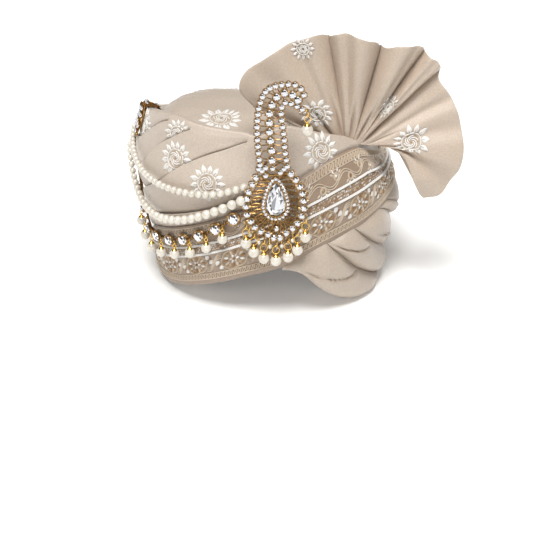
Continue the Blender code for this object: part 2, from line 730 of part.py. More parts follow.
def pearl_string(name, route, pearl, end_share):
    """A whole string as one body: a tube that swells at each pearl, laid over the wall's cloth."""
    fine = smooth_route(route, 120)
    reach = SEAT + WRAP_THICK + STRING_CLEARANCE + pearl
    points = [wall_point(turn, height, reach) for turn, height in fine]
    lengths = [0.0]
    for before, after in zip(points, points[1:]):
        lengths.append(lengths[-1] + (after - before).length)
    count = round(lengths[-1] / (pearl * (1 + end_share)))
    spots, radii = [], []
    for i in range(count):
        size = pearl * (end_share + (1 - end_share) * i / (count - 1))
        for share, radius in ((0.0, 0.5), (0.5, 1.0)):
            spots.append(place_along(points, lengths, lengths[-1] * (i + share) / count))
            radii.append(size * radius)
    spots.append(points[-1])
    radii.append(radii[0])
    return add_part(name, mesh_from(name, tube(spots, radii, 10)), PEARL)


def place_along(points, lengths, distance):
    at = next((i for i in range(1, len(lengths)) if lengths[i] >= distance), len(lengths) - 1)
    share = (distance - lengths[at - 1]) / (lengths[at] - lengths[at - 1])
    return points[at - 1].lerp(points[at], min(max(share, 0.0), 1.0))


def stone_chain():
    """Seven round stones in gold cups on a chain, with the chain's run up the left side."""
    reach = SEAT + WRAP_THICK + 0.8 * MM + CHAIN_WIRE
    route = smooth_route(STONE_CHAIN, 26)
    points = [wall_point(turn, height, reach) for turn, height in route]
    pieces = [tube(points, CHAIN_WIRE, 5)]
    for turn in CHAIN_STONE_TURNS:
        height = smooth_value(STONE_CHAIN, turn)
        place = wall_point(turn, height, reach - CHAIN_WIRE * 0.6)
        face = (wall_point(turn, height, 1) - wall_point(turn, height, 0)).normalized()
        pieces.append(cut_stone(place, CHAIN_STONE, 4.2 * MM, face=face))
    return fused("stone_chain", pieces, GOLD)


def chain_drops():
    reach = SEAT + WRAP_THICK + 0.8 * MM + CHAIN_WIRE
    for i, turn in enumerate(CHAIN_DROP_TURNS):
        hook = wall_point(turn, smooth_value(STONE_CHAIN, turn), reach)
        hook.z -= CHAIN_WIRE + HOOK_DROP
        outward = wall_point(turn, 0.5, 1) - wall_point(turn, 0.5, 0)
        outward = Vector((outward.x, outward.y, 0)).normalized()
        hook += outward * CHAIN_DROP_OUT
        pearl_drop(f"chain_drop_{i + 1}", hook, 8.5 * MM, CHAIN_PEARL, outward)


def end_clasp():
    """The curved gold end piece that hooks over the wall's top edge on the left."""
    turns = [-101 + 4 * i for i in range(5)]
    under = SEAT + WRAP_THICK + CLASP_CLEARANCE
    grids = []
    for out, rise in ((under + CLASP_THICKNESS, CLASP_RISE), (under, CLASP_RISE - CLASP_THICKNESS)):
        lift = Vector((0, 0, rise))
        grid = []
        for turn in turns:
            top = wall_top(turn)
            line = [wall_point(turn, height, out) for height in (0.84, 0.89, top - 0.01)]
            line.append(wall_point(turn, top, SEAT + WRAP_THICK / 2) + lift)
            line.append(wall_point(turn, top, -LIP_THICKNESS) + lift)
            grid.append(line)
        grids.append(grid)
    return add_part("end_clasp", loft_slab("end_clasp", *grids), GOLD)


def centre_on_floor():
    """Move everything so that the origin is under the middle of the whole turban's box."""
    bpy.context.view_layer.update()
    scene_now = bpy.context.evaluated_depsgraph_get()
    corners = [
        Vector(corner)
        for part in turban.objects
        for corner in part.evaluated_get(scene_now).bound_box
    ]
    middle_x = (min(c.x for c in corners) + max(c.x for c in corners)) / 2
    middle_y = (min(c.y for c in corners) + max(c.y for c in corners)) / 2
    for thing in bpy.data.objects:
        thing.location.x -= middle_x
        thing.location.y -= middle_y


clear_scene()
turban = bpy.data.collections.new("tied_turban")
cutters = bpy.data.collections.new("fused_pieces")
bpy.context.scene.collection.children.link(turban)
bpy.context.scene.collection.children.link(cutters)
wound_wall()
crown()
wraps()
trim_band()
rolls()
fan()
brooch()
centre_stone()
brooch_drops()
pearl_string("pearl_string_upper", UPPER_STRING, UPPER_PEARL, 0.8)
pearl_string("pearl_string_lower", LOWER_STRING, LOWER_PEARL, 0.8)
stone_chain()
chain_drops()
end_clasp()
centre_on_floor()
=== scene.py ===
"""The looks of the groom's tied turban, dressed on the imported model.

Metres. Angles named turn run in degrees round the wall from the front, to +X first, and heights
are shares of WALL_RISE, as in the model's own source.
"""

import math

import bpy
import numpy as np
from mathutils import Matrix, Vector


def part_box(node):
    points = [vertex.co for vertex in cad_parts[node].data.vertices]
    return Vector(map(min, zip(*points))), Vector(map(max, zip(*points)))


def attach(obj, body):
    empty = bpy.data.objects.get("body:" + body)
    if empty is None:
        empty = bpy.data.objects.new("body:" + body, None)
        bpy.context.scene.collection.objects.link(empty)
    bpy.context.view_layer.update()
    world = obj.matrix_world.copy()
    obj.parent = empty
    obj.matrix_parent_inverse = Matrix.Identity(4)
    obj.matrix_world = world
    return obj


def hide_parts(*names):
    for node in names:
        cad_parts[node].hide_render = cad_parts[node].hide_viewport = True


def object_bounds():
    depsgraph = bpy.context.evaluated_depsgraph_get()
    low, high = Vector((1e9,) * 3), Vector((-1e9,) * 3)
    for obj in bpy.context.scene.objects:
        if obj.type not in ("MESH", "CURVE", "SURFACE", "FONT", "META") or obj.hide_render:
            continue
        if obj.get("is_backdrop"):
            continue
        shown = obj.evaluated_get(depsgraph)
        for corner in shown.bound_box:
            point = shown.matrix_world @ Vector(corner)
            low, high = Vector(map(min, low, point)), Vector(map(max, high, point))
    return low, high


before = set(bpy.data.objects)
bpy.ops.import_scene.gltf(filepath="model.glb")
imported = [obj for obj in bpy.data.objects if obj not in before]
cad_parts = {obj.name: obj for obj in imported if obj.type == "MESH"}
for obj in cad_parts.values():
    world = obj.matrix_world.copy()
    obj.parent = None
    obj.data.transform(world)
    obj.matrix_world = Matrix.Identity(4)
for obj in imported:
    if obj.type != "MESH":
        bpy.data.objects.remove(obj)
cad_low, cad_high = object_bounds()

MM = 0.001

# The wall's measures, the same as the model's
HALF_WIDTH = 112 * MM
HALF_DEPTH = 120 * MM
WALL_RISE = 150 * MM
HEAD_HALF_WIDTH = 77 * MM
HEAD_HALF_DEPTH = 93 * MM
HEAD_Y = 5 * MM
LIP_THICKNESS = 5 * MM
CROWN_HALF_WIDTH = 96 * MM
CROWN_HALF_DEPTH = 99 * MM
CROWN_X = -5 * MM
CROWN_Y = 7 * MM
CROWN_RIM_Z = 88 * MM
CROWN_TOP_Z = 145 * MM
CROWN_FRONT_ROUNDNESS = 2.1
CROWN_BACK_ROUNDNESS = 1.8
CROWN_SIDE_ROUNDNESS = 4.6
CROWN_CLOTH = 3 * MM

crown_low, crown_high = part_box("crown")
SHIFT = np.array([
    (crown_low[0] + crown_high[0]) / 2 - CROWN_X,
    (crown_low[1] + crown_high[1]) / 2 - CROWN_Y,
    0.0,
])

# The camera
CAMERA_DISTANCE = 1.6
CAMERA_ELEVATION = 25.0
CAMERA_AIM_Z = 0.1
FOCAL_PX = 1792.0
FRAME_PX = 533.0
AXIS_PX = (266.0, 153.5)
SENSOR_MM = 36.0

WALL_FORM = (
    # turn, foot, low, middle, high, top
    (-180, 0.90, 0.97, 1.00, 0.93, 0.84),
    (-130, 0.86, 0.92, 0.96, 0.96, 0.87),
    (-90, 0.84, 0.87, 0.925, 0.975, 0.89),
    (-45, 0.88, 0.93, 0.98, 0.99, 0.88),
    (0, 0.93, 0.96, 0.98, 0.95, 0.80),
    (45, 0.93, 0.95, 0.98, 0.95, 0.76),
    (90, 0.84, 0.89, 0.985, 0.84, 0.70),
    (130, 0.87, 0.95, 1.00, 0.92, 0.76),
)
WALL_TOP = (
    # turn, height
    (-180, 0.71), (-130, 0.75), (-95, 0.93), (-56, 1.08), (-35, 1.08), (-12, 1.065),
    (-5, 1.045), (10, 1.085), (30, 1.02), (45, 0.96), (52, 0.915), (60, 0.865), (68, 0.83),
    (75, 0.79), (90, 0.73), (110, 0.70), (130, 0.70),
)
WALL_FOOT = (
    # turn, height
    (-180, 0.0), (-61, 0.0), (-45, 0.085), (-31, 0.16), (-18, 0.23), (-7, 0.285), (8, 0.33),
    (12, 0.335), (17, 0.285), (23, 0.20), (29, 0.125), (37, 0.06), (45, 0.015), (50, 0.0),
)
BAND = (
    # turn, lower edge, upper edge
    (-120, 0.015, 0.09), (-110, 0.015, 0.12), (-90, 0.015, 0.19), (-77, 0.015, 0.27),
    (-60, 0.02, 0.39), (-45, 0.075, 0.47), (-31, 0.15, 0.555), (-20, 0.21, 0.625),
    (-8, 0.275, 0.70), (8, 0.345, 0.79), (20, 0.415, 0.85), (34, 0.465, 0.89),
    (50, 0.495, 0.89), (60, 0.51, 0.845), (75, 0.52, 0.765), (90, 0.51, 0.705), (112.5, 0.43, 0.66),
)
CREASE_A = (
    (-247.5, 0.61), (-180, 0.60), (-140, 0.63), (-110, 0.70), (-90, 0.78), (-76, 0.855),
    (-67, 0.953), (-61, 1.01), (-52.5, 1.06),
)
CREASE_B = (
    (-247.5, 0.50), (-180, 0.45), (-140, 0.46), (-110, 0.52), (-90, 0.60), (-75, 0.69),
    (-65, 0.777), (-57, 0.90), (-47, 1.0), (-37.5, 1.06),
)
CREASE_C = (
    (-247.5, 0.35), (-180, 0.30), (-140, 0.30), (-110, 0.36), (-90, 0.45), (-75, 0.54),
    (-62, 0.64), (-51, 0.733), (-40, 0.853), (-25, 0.96), (-7.5, 1.03),
)
CREASE_D = (
    (-247.5, 0.20), (-180, 0.15), (-140, 0.15), (-110, 0.22), (-90, 0.30), (-75, 0.39),
    (-60, 0.475), (-35, 0.61), (-20, 0.69), (-7.5, 0.765),
)
ROLL_FOOT = (
    (7.5, 0.32), (15, 0.285), (22.5, 0.18), (30, 0.095), (37.5, 0.04), (45, 0.012), (60, 0.012),
    (67.5, 0.045),
)
ROLL_1_2 = (
    (22.5, 0.40), (30, 0.375), (37.5, 0.28), (45, 0.19), (52.5, 0.125), (60, 0.09), (67.5, 0.08),
    (75, 0.12),
)
ROLL_2_3 = (
    (37.5, 0.445), (45, 0.42), (52.5, 0.35), (60, 0.29), (67.5, 0.25), (75, 0.23), (82.5, 0.27),
)
ROLL_3_4 = ((52.5, 0.475), (60, 0.455), (67.5, 0.42), (75, 0.39), (82.5, 0.37), (90, 0.41))
HEEL_TOP = (
    (67.5, 0.03), (75, 0.09), (82.5, 0.24), (90, 0.385), (97.5, 0.455), (105, 0.43), (112.5, 0.40),
)


def curve(table, column=1, closed=False):
    """A smooth function through one column of a table, for numbers or arrays."""
    first, last = table[0][0], table[-1][0]
    at = np.array([row[0] for row in table], float)
    value = np.array([row[column] for row in table], float)
    if closed:
        at = np.concatenate(([at[-1] - 360], at, at[:2] + 360))
        value = np.concatenate(([value[-1]], value, value[:2]))
    else:
        at = np.concatenate(([2 * at[0] - at[1]], at, [2 * at[-1] - at[-2]]))
        value = np.concatenate((value[:1], value, value[-1:]))

    def read(x):
        x = np.asarray(x, float)
        x = (x - first) % 360 + first if closed else np.clip(x, first, last)
        i = np.clip(np.searchsorted(at, x, side="left") - 1, 1, len(at) - 3)
        span = at[i + 1] - at[i]
        t = (x - at[i]) / span
        slope_in = (value[i + 1] - value[i - 1]) / (at[i + 1] - at[i - 1]) * span
        slope_out = (value[i + 2] - value[i]) / (at[i + 2] - at[i]) * span
        return (
            (2 * t**3 - 3 * t**2 + 1) * value[i] + (t**3 - 2 * t**2 + t) * slope_in
            + (3 * t**2 - 2 * t**3) * value[i + 1] + (t**3 - t**2) * slope_out
        )

    return read


form_at = [curve(WALL_FORM, column, closed=True) for column in range(1, 6)]
wall_top = curve(WALL_TOP, closed=True)
wall_foot = curve(WALL_FOOT, closed=True)
band_low, band_high = curve(BAND, 1), curve(BAND, 2)
crease_a, crease_b, crease_c, crease_d = map(curve, (CREASE_A, CREASE_B, CREASE_C, CREASE_D))
LEVEL = 0.25


def wall_face(turn, height):
    """Points on the wall's outer face; turn and height may be arrays of one shape."""
    turn, height = np.broadcast_arrays(np.asarray(turn, float), np.asarray(height, float))
    shares = np.stack([read(turn) for read in form_at])
    padded = np.concatenate((shares[:1], shares, shares[-1:]))
    level = np.clip(height, 0.0, 1.0) / LEVEL
    i = np.clip(np.ceil(level).astype(int) - 1, 0, 3)
    t = level - i
    pick = lambda k: np.take_along_axis(padded, (i + k)[None], 0)[0]
    slope_in, slope_out = (pick(2) - pick(0)) / 2, (pick(3) - pick(1)) / 2
    share = (
        (2 * t**3 - 3 * t**2 + 1) * pick(1) + (t**3 - 2 * t**2 + t) * slope_in
        + (3 * t**2 - 2 * t**3) * pick(2) + (t**3 - t**2) * slope_out
    )
    share = share + np.maximum(height - 1, 0) * (shares[4] - shares[3]) / LEVEL
    angle = np.radians(turn)
    return np.stack((
        np.sin(angle) * HALF_WIDTH * share + SHIFT[0],
        -np.cos(angle) * HALF_DEPTH * share + SHIFT[1],
        height * WALL_RISE,
    ), -1)


def unit(v):
    return v / np.maximum(np.linalg.norm(v, axis=-1, keepdims=True), 1e-12)


def wall_normal(turn, height):
    across = wall_face(turn + 1, height) - wall_face(turn - 1, height)
    up = wall_face(turn, height + 0.02) - wall_face(turn, height - 0.02)
    return unit(np.cross(across, up))


def wall_point(turn, height, out=0.0):
    turn, height, out = np.broadcast_arrays(
        np.asarray(turn, float), np.asarray(height, float), np.asarray(out, float),
    )
    return wall_face(turn, height) + wall_normal(turn, height) * out[..., None]


def crown_point(turn, share, inset=0.0):
    angle = np.radians(turn)
    roundness = np.where(np.cos(angle) > 0, CROWN_FRONT_ROUNDNESS, CROWN_BACK_ROUNDNESS)
    roundness = roundness + (CROWN_SIDE_ROUNDNESS - roundness) * np.sin(angle) ** 2
    rise = np.maximum(1 - share**roundness, 0) ** (1 / roundness)
    return np.stack((
        CROWN_X + np.sin(angle) * (CROWN_HALF_WIDTH - inset) * share + SHIFT[0],
        CROWN_Y - np.cos(angle) * (CROWN_HALF_DEPTH - inset) * share + SHIFT[1],
        CROWN_RIM_Z + (CROWN_TOP_Z - CROWN_RIM_Z - inset) * rise,
    ), -1)


def seen_at(u, v, plane_y):
    """The point of an upright plane that the camera sees at a pixel of the photograph."""
    tilt = math.radians(CAMERA_ELEVATION)
    look = np.array([0, math.cos(tilt), -math.sin(tilt)])
    up = np.array([0, math.sin(tilt), math.cos(tilt)])
    start = np.array([SHIFT[0], SHIFT[1], CAMERA_AIM_Z]) - look * CAMERA_DISTANCE
    ray = (
        look + np.array([1.0, 0, 0]) * (u - AXIS_PX[0]) / FOCAL_PX
        + up * (AXIS_PX[1] - v) / FOCAL_PX
    )
    return start + ray * (plane_y - start[1]) / ray[1]


def photo_px(points):
    """Where the camera sees points, in pixels of the photograph."""
    tilt = math.radians(CAMERA_ELEVATION)
    look = np.array([0, math.cos(tilt), -math.sin(tilt)])
    up = np.array([0, math.sin(tilt), math.cos(tilt)])
    away = points - (np.array([SHIFT[0], SHIFT[1], CAMERA_AIM_Z]) - look * CAMERA_DISTANCE)
    depth = away @ look
    return np.stack((
        AXIS_PX[0] + FOCAL_PX * away[..., 0] / depth, AXIS_PX[1] - FOCAL_PX * (away @ up) / depth,
    ), -1)


def spot_at(surface, u, v, p_range, q_range):
    """The place on a surface that the camera sees at a pixel, searched on ever finer grids."""
    p_low, p_high = p_range
    q_low, q_high = q_range
    for _ in range(5):
        p, q = np.meshgrid(np.linspace(p_low, p_high, 41), np.linspace(q_low, q_high, 41))
        away = np.linalg.norm(photo_px(surface(p, q, 0.0)) - np.array([u, v]), axis=-1)
        best = np.unravel_index(np.argmin(away), away.shape)
        p_mid, q_mid = p[best], q[best]
        p_half, q_half = (p_high - p_low) / 10, (q_high - q_low) / 10
        p_low, p_high = p_mid - p_half, p_mid + p_half
        q_low, q_high = q_mid - q_half, q_mid + q_half
    return float(p_mid), float(q_mid)


def smooth_step(x, low, high):
    t = np.clip((x - low) / (high - low), 0.0, 1.0)
    return t * t * (3 - 2 * t)


def ripple(a, b, seed, waves=5):
    """Soft unevenness between about -1 and 1, from a few waves; a and b are in metres."""
    rng = np.random.default_rng(seed)
    total = np.zeros(np.broadcast(a, b).shape)
    for _ in range(waves):
        direction, length = rng.uniform(0, math.pi), rng.uniform(0.02, 0.07)
        phase = rng.uniform(0, 2 * math.pi)
        total = total + np.sin(
            2 * math.pi * (a * math.cos(direction) + b * math.sin(direction)) / length + phase
        )
    return total / waves


# Materials


def material(name, colour, roughness, metallic=0.0, **sockets):
    made = bpy.data.materials.new(name)
    made.use_nodes = True
    shader = made.node_tree.nodes["Principled BSDF"]
    shader.inputs["Base Color"].default_value = (*colour, 1)
    shader.inputs["Roughness"].default_value = roughness
    shader.inputs["Metallic"].default_value = metallic
    for socket, value in sockets.items():
        shader.inputs[socket.replace("_", " ")].default_value = value
    return made


def link_noise(made, scale, detail, low, high, socket, low_colour=None, high_colour=None):
    """Vary a socket of the shader with a noise, between two values or colours."""
    tree = made.node_tree
    shader = tree.nodes["Principled BSDF"]
    where = tree.nodes.new("ShaderNodeTexCoord")
    noise = tree.nodes.new("ShaderNodeTexNoise")
    noise.inputs["Scale"].default_value = scale
    noise.inputs["Detail"].default_value = detail
    ramp = tree.nodes.new("ShaderNodeValToRGB")
    ramp.color_ramp.elements[0].position = 0.3
    ramp.color_ramp.elements[1].position = 0.7
    ramp.color_ramp.elements[0].color = (*(low_colour or (low,) * 3), 1)
    ramp.color_ramp.elements[1].color = (*(high_colour or (high,) * 3), 1)
    tree.links.new(where.outputs["Object"], noise.inputs["Vector"])
    tree.links.new(noise.outputs["Fac"], ramp.inputs["Fac"])
    tree.links.new(ramp.outputs["Color"], shader.inputs[socket])
    return noise


def weave_bump(made, pitch, strength, noise_scale=60.0, noise_strength=0.15):
    """A fine plain weave and soft unevenness, as bump."""
    tree = made.node_tree
    shader = tree.nodes["Principled BSDF"]
    where = tree.nodes.new("ShaderNodeTexCoord")
    heights = []
    for direction in ("X", "Z"):
        wave = tree.nodes.new("ShaderNodeTexWave")
        wave.bands_direction = direction
        wave.inputs["Scale"].default_value = 0.31 / pitch
        wave.inputs["Distortion"].default_value = 1.5
        wave.inputs["Detail"].default_value = 1.0
        tree.links.new(where.outputs["Object"], wave.inputs["Vector"])
        heights.append(wave.outputs["Fac"])
    both = tree.nodes.new("ShaderNodeMath")
    both.operation = "ADD"
    tree.links.new(heights[0], both.inputs[0])
    tree.links.new(heights[1], both.inputs[1])
    fine = tree.nodes.new("ShaderNodeBump")
    fine.inputs["Strength"].default_value = strength
    fine.inputs["Distance"].default_value = pitch * 0.4
    tree.links.new(both.outputs[0], fine.inputs["Height"])
    soft_noise = tree.nodes.new("ShaderNodeTexNoise")
    soft_noise.inputs["Scale"].default_value = noise_scale
    soft_noise.inputs["Detail"].default_value = 3.0
    tree.links.new(where.outputs["Object"], soft_noise.inputs["Vector"])
    soft = tree.nodes.new("ShaderNodeBump")
    soft.inputs["Strength"].default_value = noise_strength
    soft.inputs["Distance"].default_value = 1.2 * MM
    tree.links.new(soft_noise.outputs["Fac"], soft.inputs["Height"])
    tree.links.new(fine.outputs["Normal"], soft.inputs["Normal"])
    tree.links.new(soft.outputs["Normal"], shader.inputs["Normal"])


def satin(name, colour, warm=1.0):
    dark = tuple(c * k for c, k in zip(colour, (0.88, 0.86, 0.83)))
    light = tuple(min(c * 1.07 * k, 1) for c, k in zip(colour, (1.0, 1.0, warm)))
    made = material(
        name, colour, 0.36, Sheen_Weight=0.30, Sheen_Roughness=0.30,
        Sheen_Tint=(1.0, 0.98, 0.96, 1), Specular_IOR_Level=0.85,
    )
    link_noise(made, 900.0, 2.0, 0, 1, "Base Color", dark, light)
    weave_bump(made, 0.45 * MM, 0.35)
    return made


def thread_material(name, colour, roughness=0.45, metallic=0.0):
    made = material(name, colour, roughness, metallic, Sheen_Weight=0.2, Specular_IOR_Level=0.5)
    dark = tuple(c * 0.84 for c in colour)
    link_noise(made, 1500.0, 2.0, 0, 1, "Base Color", dark, colour)
    weave_bump(made, 0.35 * MM, 0.7, 400.0, 0.2)
    return made


CLOTH_COLOUR = (0.54, 0.46, 0.385)
# The fan's colour is the satin's own tone made a little warmer and darker with painted shade of the fan's shaded
# right side.
FAN_COLOUR_PARTLY_PAINTED_SHADE = (0.53, 0.435, 0.35)
cloth = satin("champagne_satin", CLOTH_COLOUR)
# A lighter copy of the cloth: painted light of the top-lit dome. The dome itself is built with the plain cloth.
dome_cloth_painted_light = satin("dome_satin_painted_light", (0.59, 0.515, 0.445))
# The rolls' satin is a darker, warmer copy of the cloth: painted shade of the turban's lower right side.
roll_cloth_painted_shade = satin("roll_satin_painted_shade", (0.48, 0.40, 0.325))
fan_cloth_partly_painted_shade = satin("fan_satin_partly_painted_shade", FAN_COLOUR_PARTLY_PAINTED_SHADE)
lining = satin("wall_cotton", (0.50, 0.43, 0.36))
# The band's ground is darker than its own tone: partly the real darker ground under the threads, partly painted shade
# of the gaps between the raised threads.
band_cloth_with_painted_shade = satin("band_ground_with_painted_shade", (0.31, 0.225, 0.16))
white_thread = thread_material("white_thread", (0.93, 0.91, 0.87))
cream_thread = thread_material("cream_thread", (0.68, 0.555, 0.42))
gold_thread = thread_material("gold_thread", (0.52, 0.36, 0.21), 0.40, 0.2)
brown_sequin = thread_material("brown_sequin", (0.36, 0.20, 0.08), 0.3, 0.6)
pearl_look = material(
    "ivory_pearl", (0.66, 0.62, 0.54), 0.30, Coat_Weight=1.0, Coat_Roughness=0.10,
    Specular_IOR_Level=0.9,
)
link_noise(pearl_look, 300.0, 1.0, 0, 1, "Base Color", (0.60, 0.55, 0.46), (0.72, 0.68, 0.60))
antique_gold = material("antique_gold", (0.42, 0.25, 0.09), 0.33, 1.0)
link_noise(antique_gold, 500.0, 2.0, 0, 1, "Base Color", (0.19, 0.095, 0.035), (0.50, 0.31, 0.12))
bright_gold = material("bright_gold", (0.86, 0.55, 0.13), 0.22, 1.0)
link_noise(bright_gold, 400.0, 1.0, 0, 1, "Base Color", (0.72, 0.42, 0.08), (0.92, 0.62, 0.18))
# Tones for the facets of cut stones: painted reflections set face by face (silvery, grey and dark) and a white
# painted glint.
PAINTED_REFLECTION_FACETS = (
    material("crystal_painted_silver_reflection", (0.62, 0.63, 0.66), 0.04, 0.85, Coat_Weight=1.0),
    material("crystal_painted_grey_reflection", (0.24, 0.245, 0.26), 0.06, 0.8, Coat_Weight=1.0),
    material("crystal_painted_dark_reflection", (0.06, 0.055, 0.05), 0.08, 0.7, Coat_Weight=1.0),
    material("crystal_painted_white_glint", (0.98, 0.98, 1.0), 0.15, 0.1, Coat_Weight=1.0),
)


# Building meshes


class Soup:
    """Points and faces of one piece, gathered from many small forms."""

    def __init__(self):
        self.points, self.faces, self.looks, self.count = [], [], [], 0

    def add(self, points, faces, look=0):
        points = np.asarray(points, float).reshape(-1, 3)
        self.points.append(points)
        self.faces.extend([tuple(int(i) + self.count for i in face) for face in faces])
        self.looks.extend([look] * len(faces) if isinstance(look, int) else look)
        self.count += len(points)

    def grid(self, points, round_rows=False, round_columns=False, look=0):
        """A grid of points as quads; either way may close on itself."""
        rows, columns = points.shape[:2]
        faces = []
        for i in range(rows if round_rows else rows - 1):
            for j in range(columns if round_columns else columns - 1):
                a, b = i * columns + j, i * columns + (j + 1) % columns
                c, d = ((i + 1) % rows) * columns + (j + 1) % columns, ((i + 1) % rows) * columns + j
                faces.append((a, b, c, d))
        self.add(points, faces, look)

    def loft(self, sections, look=0):
        """Closed sections in a row, with a cap at each end."""
        rows, columns = sections.shape[:2]
        before = self.count
        self.grid(sections, round_columns=True, look=look)
        first = tuple(before + i for i in range(columns))
        last = tuple(before + (rows - 1) * columns + i for i in range(columns))
        self.faces.append(first[::-1])
        self.faces.append(last)
        self.looks.extend([look, look])

    def tube(self, centres, normals, radius, sides=5, closed=False, flat=1.0, look=0):
        """A thread along points, with the normals of what it lies on."""
        centres = np.asarray(centres, float)
        normals = np.asarray(normals, float)
        if normals.ndim == 1:
            normals = np.repeat(normals[None], len(centres), 0)
        if closed:
            along = np.roll(centres, -1, 0) - np.roll(centres, 1, 0)
        else:
            along = np.gradient(centres, axis=0)
        along = unit(along)
        across = unit(np.cross(along, normals))
        up = np.cross(across, along)
        radius = np.broadcast_to(np.asarray(radius, float), (len(centres),))[:, None, None]
        angle = np.arange(sides) * 2 * math.pi / sides
        rings = centres[:, None] + radius * (
            across[:, None] * np.cos(angle)[None, :, None]
            + up[:, None] * np.sin(angle)[None, :, None] * flat
        )
        if closed:
            self.grid(rings, round_rows=True, round_columns=True, look=look)
        else:
            self.loft(rings, look)

    def ball(self, centre, radius, sides=16, rings=10, look=0, squash=1.0):
        angle = np.arange(sides) * 2 * math.pi / sides
        tilt = np.linspace(0, math.pi, rings + 1)[1:-1]
        body = np.stack((
            np.outer(np.sin(tilt), np.cos(angle)),
            np.outer(np.sin(tilt), np.sin(angle)),
            np.repeat(np.cos(tilt)[:, None], sides, 1) * squash,
        ), -1) * radius + centre
        before = self.count
        self.grid(body, round_columns=True, look=look)
        top, bottom = self.count, self.count + 1
        poles = np.array([[0, 0, radius * squash], [0, 0, -radius * squash]]) + centre
        self.points.append(poles)
        self.count += 2
        last = before + (rings - 2) * sides
        for j in range(sides):
            k = (j + 1) % sides
            self.faces.append((top, before + k, before + j))
            self.faces.append((bottom, last + j, last + k))
        self.looks.extend([look] * (2 * sides))

    def stone(self, centre, facing, upward, radius, tall, wide=1.0, depth=1.0, sides=8, tip=0.0):
        """A cut stone: girdle, crown facets and table; upward is its long side's direction."""
        facing = unit(np.asarray(facing, float))
        right = unit(np.cross(np.asarray(upward, float), facing))
        up = np.cross(facing, right)
        levels = ((0.72, -0.45), (1.0, 0.0), (0.86, 0.34), (0.52, 0.55))
        rings = []
        for level, (size, out) in enumerate(levels):
            half = 0.5 if level % 2 == 0 else 0.0
            angle = (np.arange(sides) + half) * 2 * math.pi / sides
            x, y = np.cos(angle) * wide, np.sin(angle)
            if tip:
                x = x * (1 - tip * np.maximum(y, 0))
            y = y * tall
            rings.append(
                centre + radius * size * (x[:, None] * right + y[:, None] * up)
                + facing * radius * out * depth
            )
        base = self.count
        self.points.append(np.concatenate(rings))
        self.count += sides * len(levels)
        for level in range(len(levels) - 1):
            a, b = base + level * sides, base + (level + 1) * sides
            half = 1 if level % 2 == 1 else 0
            for j in range(sides):
                k = (j + 1) % sides
                if half:
                    self.faces.append((a + j, a + k, b + j))
                    self.faces.append((a + k, b + k, b + j))
                else:
                    self.faces.append((a + j, b + k, b + j))
                    self.faces.append((a + j, a + k, b + k))
                # Facets take the fixed tones of painted reflection and painted glint in turn round the stone.
                painted_reflection_tones = ((0, 1), (3, 0), (1, 3), (0, 2))[(j + level) % 4]
                self.looks.extend(painted_reflection_tones)
        top = base + (len(levels) - 1) * sides
        self.faces.append(tuple(top + j for j in range(sides)))
        self.faces.append(tuple(base + j for j in reversed(range(sides))))
        # The table takes a white painted glint on large stones and a silvery painted reflection on small ones; the
        # back takes a dark painted reflection.
        self.looks.extend([3 if sides > 9 else 0, 2])

    def leaf(self, patch, x, y, length, width, angle, rise=0.5 * MM, look=0, rows=6, lift=0.0):
        """A pointed petal of raised thread that lies on a patch, from (x, y) outward at an angle."""
        along = np.linspace(0, 1, rows + 1)
        half = np.sin(np.pi * np.clip(along, 0, 1) ** 0.8) ** 0.9 * width / 2
        half[0] = half[-1] = 0.04 * width
        direction = np.array([math.cos(angle), math.sin(angle)])
        side = np.array([-direction[1], direction[0]])
        sections = []
        for share, h in zip(along, half):
            centre = np.array([x, y]) + direction * share * length
            spots = np.array([centre + side * h * s for s in (-1, -0.55, 0, 0.55, 1)])
            outs = np.array([0.0, 0.8, 1.0, 0.8, 0.0]) * rise * min(1.0, h / (width * 0.3) + 0.2)
            top = patch(spots[:, 0], spots[:, 1], outs + 0.1 * MM + lift)
            under = patch(spots[::-1, 0][1:-1], spots[::-1, 1][1:-1], np.full(3, -0.2 * MM))
            sections.append(np.concatenate((top, under)))
        self.loft(np.array(sections), look)

    def thread(self, patch, x, y, radius, sides=5, closed=False, look=0, lift=0.0, flat=1.0):
        """A cord that lies on a patch along (x, y)."""
        x, y = np.asarray(x, float), np.asarray(y, float)
        low = patch(x, y, np.full(x.shape, 0.0))
        high = patch(x, y, np.full(x.shape, 1.0 * MM))
        normals = unit(high - low)
        radii = np.broadcast_to(np.asarray(radius, float), x.shape)
        self.tube(low + normals * (radii * 0.6 + lift)[:, None], normals, radii, sides, closed, flat, look)

    def build(self, name, materials, slot, smooth=True, angle=40):
        mesh = bpy.data.meshes.new(name)
        points = np.concatenate(self.points)
        mesh.from_pydata(points.tolist(), [], self.faces)
        mesh.update()
        made = bpy.data.objects.new(name, mesh)
        bpy.context.scene.collection.objects.link(made)
        for each in materials:
            mesh.materials.append(each)
        mesh.polygons.foreach_set("material_index", np.array(self.looks, int))
        if smooth:
            mesh.shade_smooth()
            if angle:
                mesh.set_sharp_from_angle(angle=math.radians(angle))
        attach(made, "root")
        return made


def flip_check(piece):
    """Turn a closed piece's faces outward where its volume is negative."""
    mesh = piece.data
    points = np.empty(len(mesh.vertices) * 3)
    mesh.vertices.foreach_get("co", points)
    points = points.reshape(-1, 3)
    mesh.calc_loop_triangles()
    corners = np.empty(len(mesh.loop_triangles) * 3, int)
    mesh.loop_triangles.foreach_get("vertices", corners)
    a, b, c = (points[corners.reshape(-1, 3)[:, k]] for k in range(3))
    if np.einsum("ij,ij->i", a, np.cross(b, c)).sum() < 0:
        mesh.flip_normals()
    return piece


# Wraps of cloth, each a closed section carried round the wall

